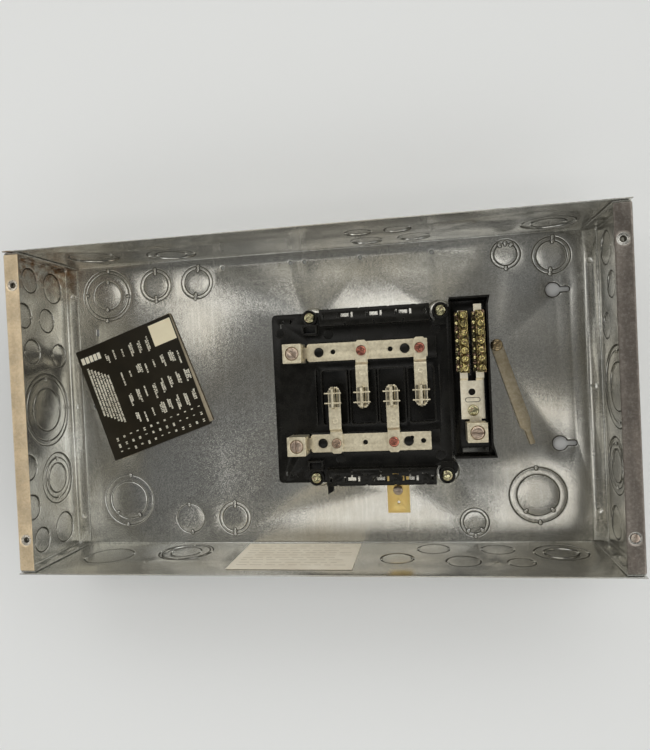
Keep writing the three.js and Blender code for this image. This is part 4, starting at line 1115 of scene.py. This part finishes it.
def screw(node, material, slot_angle, cross=False, slot_share=0.16, shaft=1.8, dome=0.3):
    """A screw with a rounded head: slotted, or with a cross recess."""
    low, high = span(node)
    centre = middle(node)
    radius = (high.x - low.x) / 2
    height = CROSS_HEAD if cross else SLOTTED_HEAD
    if high.z - low.z <= 4:
        height = high.z - low.z
    seat = high.z - height
    head = [(0, high.z), (radius * 0.45, high.z - dome * 0.25), (radius * 0.75, high.z - dome),
            (radius * 0.93, high.z - dome - 0.45), (radius, high.z - dome - 1.0),
            (radius, seat + 0.3), (radius * 0.95, seat), (shaft * 1.05, seat)]
    shape = lathe(head + thread(shaft, low.z, seat, 0.8), (centre.x, centre.y, 0), 40)
    piece = mesh_object(f"{node}_turned", shape)
    depth = height * 0.42
    width = radius * 2 * slot_share
    cuts = [(radius * 3, width, depth, slot_angle)]
    if cross:
        cuts = [(radius * 1.25, width, depth * 1.3, slot_angle + turn) for turn in (0, 90)]
    carved(piece, [slot_cutter(centre.x, centre.y, high.z, *sizes) for sizes in cuts])
    rounded_off(piece, 0.1, 2, 45)
    return adopt(piece, node, material)


WIREWAY_HALF, WIREWAY_FLOOR, WIREWAY_SPRING, WIREWAY_LENGTH = 5.8, 3.2, 11.2, 24
SET_BORE, SET_BORE_MOUTH = 6, 6.5
SET_PITCH, SET_SLOT, SET_SLOT_DEPTH = 1.2, 1.6, 2.6


def lug(node, screw_node, slot_angle, along):
    """A wire lug with an arched wireway, and its set screw."""
    low, high = span(node)
    centre = middle(node)
    block = rounded(low.x, high.x, low.y, high.y, 0.8, 3)
    block = pressed(block, flat(low.z), high.z - low.z, edge=0.5)
    piece = mesh_object(f"{node}_plated", block)
    half, length = WIREWAY_HALF, WIREWAY_LENGTH
    floor, spring = low.z + WIREWAY_FLOOR, low.z + WIREWAY_SPRING
    arch = [(-half, floor), (half, floor)] + circle(0, spring, half, 24, 0, math.pi)
    back = length / 2
    place = (centre.x - back, centre.y) if along == "x" else (centre.x, centre.y - back)
    tunnel = pressed(arch, flat(0, standing(*place, along, -1)), length)
    bore = [(0, spring), (SET_BORE, spring), (SET_BORE, high.z - 0.5), (SET_BORE_MOUTH, high.z),
            (SET_BORE_MOUTH, high.z + 1), (0, high.z + 1)]
    carved(piece, [tunnel, lathe(bore, (centre.x, centre.y, 0), 48)])
    rounded_off(piece, 0.3, 2, 40)
    adopt(piece, node, TIN)

    low, high = span(screw_node)
    radius = (high.x - low.x) / 2
    count = int((high.z - low.z - SET_PITCH) / SET_PITCH)
    profile = [(0, high.z), (radius - 1.4, high.z), (radius - 0.5, high.z - 0.4),
               (radius - 0.1, high.z - 1.1)]
    for turn in range(count):
        z = high.z - 1.0 - turn * SET_PITCH
        profile += [(radius, z), (radius - 0.5, z - SET_PITCH / 2)]
    profile += [(radius - 1, low.z), (0, low.z)]
    piece = mesh_object(f"{screw_node}_turned", lathe(profile, (centre.x, centre.y, 0), 48))
    slot = slot_cutter(centre.x, centre.y, high.z, radius * 3, SET_SLOT, SET_SLOT_DEPTH, slot_angle)
    carved(piece, [slot])
    rounded_off(piece, 0.12, 2, 45)
    adopt(piece, screw_node, LUG_STEEL)


bus_bar("bus_bar_a", 1)
bus_bar("bus_bar_b", -1)
for number in (1, 2, 3, 4):
    stab(number)
for number, angle in zip((1, 2, 3, 4), (20, 52, 8, 70)):
    screw(f"stab_screw_{number}", DULL_COPPER if number == 1 else COPPER, angle, cross=True, dome=0.5)
lug("line_lug_a", "line_lug_screw_a", -45, "x")
lug("line_lug_b", "line_lug_screw_b", 88, "x")
lug("neutral_lug", "neutral_lug_screw", -3, "y")
for number, angle in zip((1, 2, 3, 4), (35, 65, 60, 105)):
    screw(f"base_screw_{number}", SCREW_ZINC, angle, dome=0.5)


# ------------------------------------------------------------------ neutral assembly

BAR_BORE, BAR_TAP, BAR_AXIS = 2.1, 2.5, 38.6
LEDGE, LEDGE_THICK = 40.9, 1.2
BEAD_FOOT, BEAD_OUT, BEAD_ALONG = 41.9, 1.75, 1.2
BEAD_DOME = ((0.9, 0.4), (0.5, 0.72), (0, 0.8))     # as shares of a bead's radius
PLATE_TOP = 2.5                   # the plate's upper face, above its lowest point
PLATE_BEAD = ((132.3, 145.3, -8.9, -4.5, 2.1), (133.0, 144.6, -8.2, -5.2, 1.4))   # outside, inside


def terminal_bar(node):
    """A square bar bored across and tapped from above, with a ledge and solder-like beads."""
    low, high = span(node)
    letter = node[-1]
    screws = [middle(f"terminal_screw_{letter}{row}") for row in range(1, 8)]
    x = screws[0].x
    half = high.x - x
    block = rounded(x - half, x + half, low.y, high.y, 0.6, 3)
    block = pressed(block, flat(low.z), high.z - low.z, edge=0.45)
    piece = mesh_object(f"{node}_plated", block)
    cross_bore = [(0, -6), (BAR_BORE, -6), (BAR_BORE, 6), (0, 6)]
    tap = [(0, BAR_AXIS), (BAR_BORE, BAR_AXIS), (BAR_BORE, high.z - 0.4), (BAR_TAP, high.z + 0.1),
           (BAR_TAP, high.z + 1), (0, high.z + 1)]
    cutters = []
    for place in screws:
        cutters.append(lathe(cross_bore, (x, place.y, BAR_AXIS), 24, "x"))
        cutters.append(lathe(tap, (x, place.y, 0), 24))
    carved(piece, cutters)
    rounded_off(piece, 0.15, 2, 45)
    adopt(piece, node, CHROMATE)

    ledge = rounded(low.x, x - half + 0.2, low.y + 1, high.y - 1, 0.4, 2)
    beads = []
    for row, place in enumerate(screws):
        size = 1.5 if row % 2 else 1.05
        dome = [(0, BEAD_FOOT), (size, BEAD_FOOT)]
        dome += [(size * out, BEAD_FOOT + 0.2 + size * up) for out, up in BEAD_DOME]
        beads.append(lathe(dome, (low.x + BEAD_OUT, place.y + BEAD_ALONG, 0), 18))
    shelf = pressed(ledge, flat(LEDGE), LEDGE_THICK, edge=0.2)
    fitted(f"{node}_ledge", shelf, node, SHADED_CHROMATE, stands_for=False)
    fitted(f"{node}_beads", combine(beads), node, BEAD_ZINC, stands_for=False)


def neutral_plate():
    """The neutral bus plate: the CAD shape with rounded edges and an embossed oval bead."""
    adopt(dressed("neutral_plate_plated", "neutral_plate", 0.35, 3), "neutral_plate", BRIGHT_TIN)
    low, _ = span("neutral_plate")
    outer, inner = (rounded(*sizes, 8) for sizes in PLATE_BEAD)
    rib = pressed(outer, flat(low.z + PLATE_TOP - 0.2), 0.55, [inner], edge=0.15)
    # The bead is drawn in the darker tin: painted shade that marks its outline.
    fitted("neutral_plate_bead", rib, "neutral_plate", DULL_TIN, stands_for=False)


adopt(dressed("neutral_tray_moulding", "neutral_holder", 0.4, 3), "neutral_holder", BLACK)
neutral_plate()
screw("neutral_plate_screw", SCREW_ZINC, 12, dome=0.4)
for letter in "ab":
    terminal_bar(f"neutral_bar_{letter}")
    for row in range(1, 8):
        angle = 41 * row + (25 if letter == "b" else 0)
        node = f"terminal_screw_{letter}{row}"
        screw(node, HEAD_CHROMATE, angle, slot_share=0.2, shaft=1.65, dome=0.35)


# ------------------------------------------------------------------ bonding strap, bracket, cover screw

BOND_ANGLE, BOND_HALF, BOND_LENGTH = 197.3, 5.3, 81     # the strap's direction, and its wide part
BOND_TIP_HALF, BOND_TIP = 2.5, 13
BOND_BEND = (9, 8)                # the step near its tip, as degrees and radius


def bonding_strap():
    """A tan strap with a round end, a taper and a slightly bent narrow tip."""
    low, high = span("bonding_strap")
    pivot = middle("bonding_screw")
    lean = Matrix.Rotation(math.radians(BOND_ANGLE), 4, "Z")
    lean = Matrix.Translation((pivot.x, pivot.y, 0)) @ lean
    half, length, tip = BOND_HALF, BOND_LENGTH, BOND_TIP_HALF
    end = length + BOND_TIP
    outline = circle(0, 0, half, 20, math.pi, math.pi)
    outline += [(half, length - 4), (tip, length), (tip - 0.2, end - 0.6), (tip - 0.7, end),
                (0.7 - tip, end), (0.2 - tip, end - 0.6), (-tip, length), (-half, length - 9)]
    angle, radius = BOND_BEND
    fold = Fold((-half, low.z), 0, [half + length - 3, (angle, radius), 3.0, (-angle, radius), 20.0],
                lambda u, along, up: lean @ Vector((u, along, up)))
    outline = [(u, v + half) for u, v in outline]
    works = [dish(0, half, [(2.6, 0), (2.3, 0)])]
    shape = pressed(outline, fold, high.z - low.z, works=works, edge=EDGE)
    fitted("bonding_strap_plated", shape, "bonding_strap", STRAP)


bonding_strap()
screw("bonding_screw", AGED_ZINC, 50, dome=0.5)
adopt(dressed("bracket_plated", "ground_bracket", 0.3, 2), "ground_bracket", GOLD)
screw("bracket_screw", STEEL, -8, dome=0.4)


COVER_SLOT = (12, 1.5, 0.75, 75)  # its length, width, depth and angle


def cover_screw():
    """The one cover screw left in the lip: a flat slotted head that sits in its dish."""
    low, high = span("cover_screw")
    place = middle("cover_screw")
    radius = (high.x - low.x) / 2
    head = [(0, high.z), (0.6 * radius, high.z - 0.05), (0.9 * radius, high.z - 0.25),
            (radius, high.z - 0.55), (radius, high.z - 0.95), (2, high.z - 1)]
    shape = lathe(head + thread(1.9, low.z, high.z - 1, 0.9), (place.x, place.y, 0), 40)
    piece = mesh_object("cover_screw_turned", shape)
    carved(piece, [slot_cutter(place.x, place.y, high.z, *COVER_SLOT)])
    rounded_off(piece, 0.08, 2, 45)
    adopt(piece, "cover_screw", STEEL)


cover_screw()


# ------------------------------------------------------------------ card and label

CARD_LENGTH, CARD_WIDTH, CARD_ANGLE = 115, 105, -71.4
CURL, CURL_RADIUS = 13, 85


def card_fold(height, shift=0.0, extra_turn=0.0):
    """The loose card's shape: flat, with one edge curled up where it leans on a flange."""
    centre = middle("directory_card")
    turn = Matrix.Rotation(math.radians(CARD_ANGLE + extra_turn), 4, "Z")
    turn = Matrix.Translation((centre.x, centre.y, 0)) @ turn
    curl_run = math.radians(CURL) * CURL_RADIUS
    start = -CARD_WIDTH / 2 + shift + curl_run - CURL_RADIUS * math.sin(math.radians(CURL))
    lift = CURL_RADIUS * (1 - math.cos(math.radians(CURL)))
    return Fold((start, height + lift), -CURL, [(CURL, CURL_RADIUS), CARD_WIDTH],
                lambda u, along, up: turn @ Vector((u, along, up)))


def bar(fold, u, v, length, width, top, thick=0.06):
    """A printed bar on the card; v is measured from the card's middle."""
    v0 = v + CARD_WIDTH / 2
    outline = [(u, v0), (u + length, v0), (u + length, v0 + width), (u, v0 + width)]
    return pressed(outline, Lifted(fold, top), thick)


def print_row(fold, u, v, length, height, top):
    """One row of generic print: short ticks with gaps, no lettering."""
    end = u + length
    ticks = []
    while u < end:
        run = random.uniform(0.5, 1.1)
        ticks.append(bar(fold, u, v, run, height * random.uniform(0.8, 1.0), top))
        u += run + random.choice((0.3, 0.3, 0.4, 0.9))
    return ticks


# Print on the card: a column of blocks at its edge, a block of lines, the columns of circuit texts
# (each with its rows) and three columns of numbers; the last is the cream patch
BLOCKS = {"u": -49.5, "v": -50, "pitch": 4.3, "count": 5, "length": 6.5, "width": 3.4}
LINES = {"u": -38, "v": -47.5, "shift": 2.2, "pitch": 2.9, "count": 7}
CIRCUITS = {"v": -25, "pitch": 8.9, "line": 1.9}
CIRCUIT_COLUMNS = ((-45, range(0, 7)), (-23, range(1, 9)), (-1, range(1, 9)), (20, range(1, 9)))
NUMBERS = {"columns": (37, 43.5, 50.5), "v": -44, "pitch": 7.56, "count": 13}
PATCH = (-54, 27.5, 21.5, 24)
PRINT_LIFT = 0.02
BACK_SHIFT, BACK_TURN = 2.3, 1.6  # how the backing lies against the card


def card():
    """The loose card and its backing, with generic print and a cream patch."""
    low, high = span("directory_card")
    thick = high.z - low.z
    fold = card_fold(low.z)
    half = CARD_LENGTH / 2
    sheet = rounded(-half, half, 0, CARD_WIDTH, 0.8, 2)
    fitted("card_sheet", pressed(sheet, fold, thick), "directory_card", CARD)
    back = rounded(0.8 - half, half - 0.8, 3, CARD_WIDTH, 0.8, 2)
    under, over = span("card_backing")
    backing = pressed(back, card_fold(under.z, BACK_SHIFT, BACK_TURN), over.z - under.z)
    fitted("backing_sheet", backing, "card_backing", BACKING)

    top = thick + PRINT_LIFT
    marks = []
    for block in range(BLOCKS["count"]):
        v = BLOCKS["v"] + BLOCKS["pitch"] * block
        marks.append(bar(fold, BLOCKS["u"], v, BLOCKS["length"], BLOCKS["width"], top))
    for line in range(LINES["count"]):
        u = LINES["u"] + LINES["shift"] * line
        marks += print_row(fold, u, LINES["v"] + LINES["pitch"] * line, 50, 2.0, top)
    for u, rows in CIRCUIT_COLUMNS:
        for row in rows:
            v = CIRCUITS["v"] + CIRCUITS["pitch"] * row
            for line in range(random.choice((1, 2, 2, 3))):
                length = random.uniform(6, 13)
                start = u + random.uniform(-1, 3)
                marks += print_row(fold, start, v + CIRCUITS["line"] * line, length, 1.7, top)
    for row in range(NUMBERS["count"]):
        v = NUMBERS["v"] + NUMBERS["pitch"] * row
        for u in NUMBERS["columns"]:
            marks += print_row(fold, u, v, random.choice((1.2, 2.6)), 2.3, top)
    fitted("card_print", combine(marks), "directory_card", INK, stands_for=False)
    patch = bar(fold, *PATCH, top, 0.1)
    fitted("card_blank_patch", patch, "directory_card", CREAM, stands_for=False)


LABEL_ROWS, LABEL_PITCH, LABEL_BAR, LABEL_GAP = 9, 7, 1.3, 3
LABEL_FOOT, LABEL_LEFT, LABEL_RIGHT = 8, 6, 16      # the margins round its print


def label():
    """The wiring label on the long wall, with faint rows of generic bars."""
    low, high = span("wiring_label")
    thick = high.y - low.y
    upright = standing(0, low.y, "y")
    sheet = pressed(rounded(low.x, high.x, low.z, high.z, 1.0, 3), flat(0, upright), thick)
    fitted("label_sheet", sheet, "wiring_label", PAPER)
    marks = []
    for row in range(LABEL_ROWS):
        z = low.z + LABEL_FOOT + LABEL_PITCH * row
        x = low.x + LABEL_LEFT
        while x < high.x - LABEL_RIGHT:
            end = x + random.uniform(5, 14)
            outline = [(x, z), (end, z), (end, z + LABEL_BAR), (x, z + LABEL_BAR)]
            marks.append(pressed(outline, flat(thick, upright), 0.06))
            x = end + LABEL_GAP
    fitted("label_print", combine(marks), "wiring_label", LABEL_INK, stands_for=False)


card()
label()


# ------------------------------------------------------------------ stage, light and camera

# The sky is brightest in a band that the rolled edges mirror, and dim overhead, so the metal keeps
# its contrast; two soft strips are mirrored in the rear wall.
SKY_BAND = 1.68
SKY_STOPS = ((0.0, 0.35), (0.3, 0.4), (0.38, 1.0), (0.6, 1.0), (0.8, 0.15), (0.9, 0.09))
SKY_LEAN = (0.45, 0.25, 0)          # the band is brighter toward +X and +Y
SKY_COLOUR = (0.97, 0.98, 0.96)
STRIP_HEIGHT, STRIP_COLOUR = 1.0, (1.0, 0.98, 0.93)
# Each strip's place, size and power
STRIPS = {"low": ((0.05, -0.29), (0.80, 0.15), 0.65), "high": ((-0.20, 0.29), (0.84, 0.19), 0.88)}
FLOOR_HALF, FLOOR_DROP = 30, 0.2 * MM


def stage():
    """A plain pale floor, a banded sky and two soft strips of light."""
    size = FLOOR_HALF
    corners = [(-size, -size, 0), (size, -size, 0), (size, size, 0), (-size, size, 0)]
    mesh = bpy.data.meshes.new("floor")
    mesh.from_pydata(corners, [], [(0, 1, 2, 3)])
    floor = bpy.data.objects.new("floor", mesh)
    floor.location.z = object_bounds()[0][2] - FLOOR_DROP
    bpy.context.scene.collection.objects.link(floor)
    paint = Paint("pale_floor", roughness=0.9, specular=0.1)
    soft = paint.noise(0.7, 2)
    tone = paint.blend(soft, 0.3, 0.7, (0.80, 0.80, 0.80), (0.83, 0.83, 0.83))
    mesh.materials.append(paint.finish(tone, 0.9))
    floor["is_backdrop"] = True
    sky()
    for name, spot in STRIPS.items():
        area_light(f"strip_{name}", *spot)
    bpy.context.scene.view_settings.view_transform = "Standard"


def sky():
    """The world: a band round the horizon from a ramp on the direction's height, leaning one way."""
    world = bpy.data.worlds.new("studio")
    world.use_nodes = True
    air = Nodes(world.node_tree)
    light = world.node_tree.nodes["Background"]
    air.plug(light.inputs["Color"], SKY_COLOUR)
    direction = air.add("TexCoord").outputs["Generated"]
    upward = air.add("SeparateXYZ", Vector=direction).outputs["Z"]
    ramp = air.add("ValToRGB", Fac=upward)
    while len(ramp.color_ramp.elements) < len(SKY_STOPS):
        ramp.color_ramp.elements.new(0.5)
    for element, (height, share) in zip(ramp.color_ramp.elements, SKY_STOPS):
        element.position = height
        element.color = (share, share, share, 1)
    brightest = air.maths("MULTIPLY", ramp.outputs["Color"], SKY_BAND)
    lean = air.maths("MULTIPLY_ADD", air.dot(direction, SKY_LEAN), brightest, brightest)
    air.plug(light.inputs["Strength"], lean)
    bpy.context.scene.world = world


def area_light(name, place, size, power):
    """A soft light that shines straight down; the camera doesn't see it."""
    data = bpy.data.lights.new(name, "AREA")
    data.shape = "RECTANGLE"
    data.size, data.size_y = size
    data.energy = power
    data.color = STRIP_COLOUR
    light = bpy.data.objects.new(name, data)
    light.location = (*place, STRIP_HEIGHT)
    light.visible_camera = False
    bpy.context.scene.collection.objects.link(light)


def camera():
    """The photograph's view: almost straight down into the box, from above its right half."""
    data = bpy.data.cameras.new("view")
    data.sensor_width = 36
    data.lens = 29.79
    data.shift_x = 0.0013
    data.shift_y = 0.0099
    eye = bpy.data.objects.new("view", data)
    eye.location = (0.0998, 0.0219, 0.5783)
    eye.rotation_euler = tuple(math.radians(angle) for angle in (-1.275, 9.275, -2.732))
    bpy.context.scene.collection.objects.link(eye)
    bpy.context.scene.camera = eye


stage()
camera()
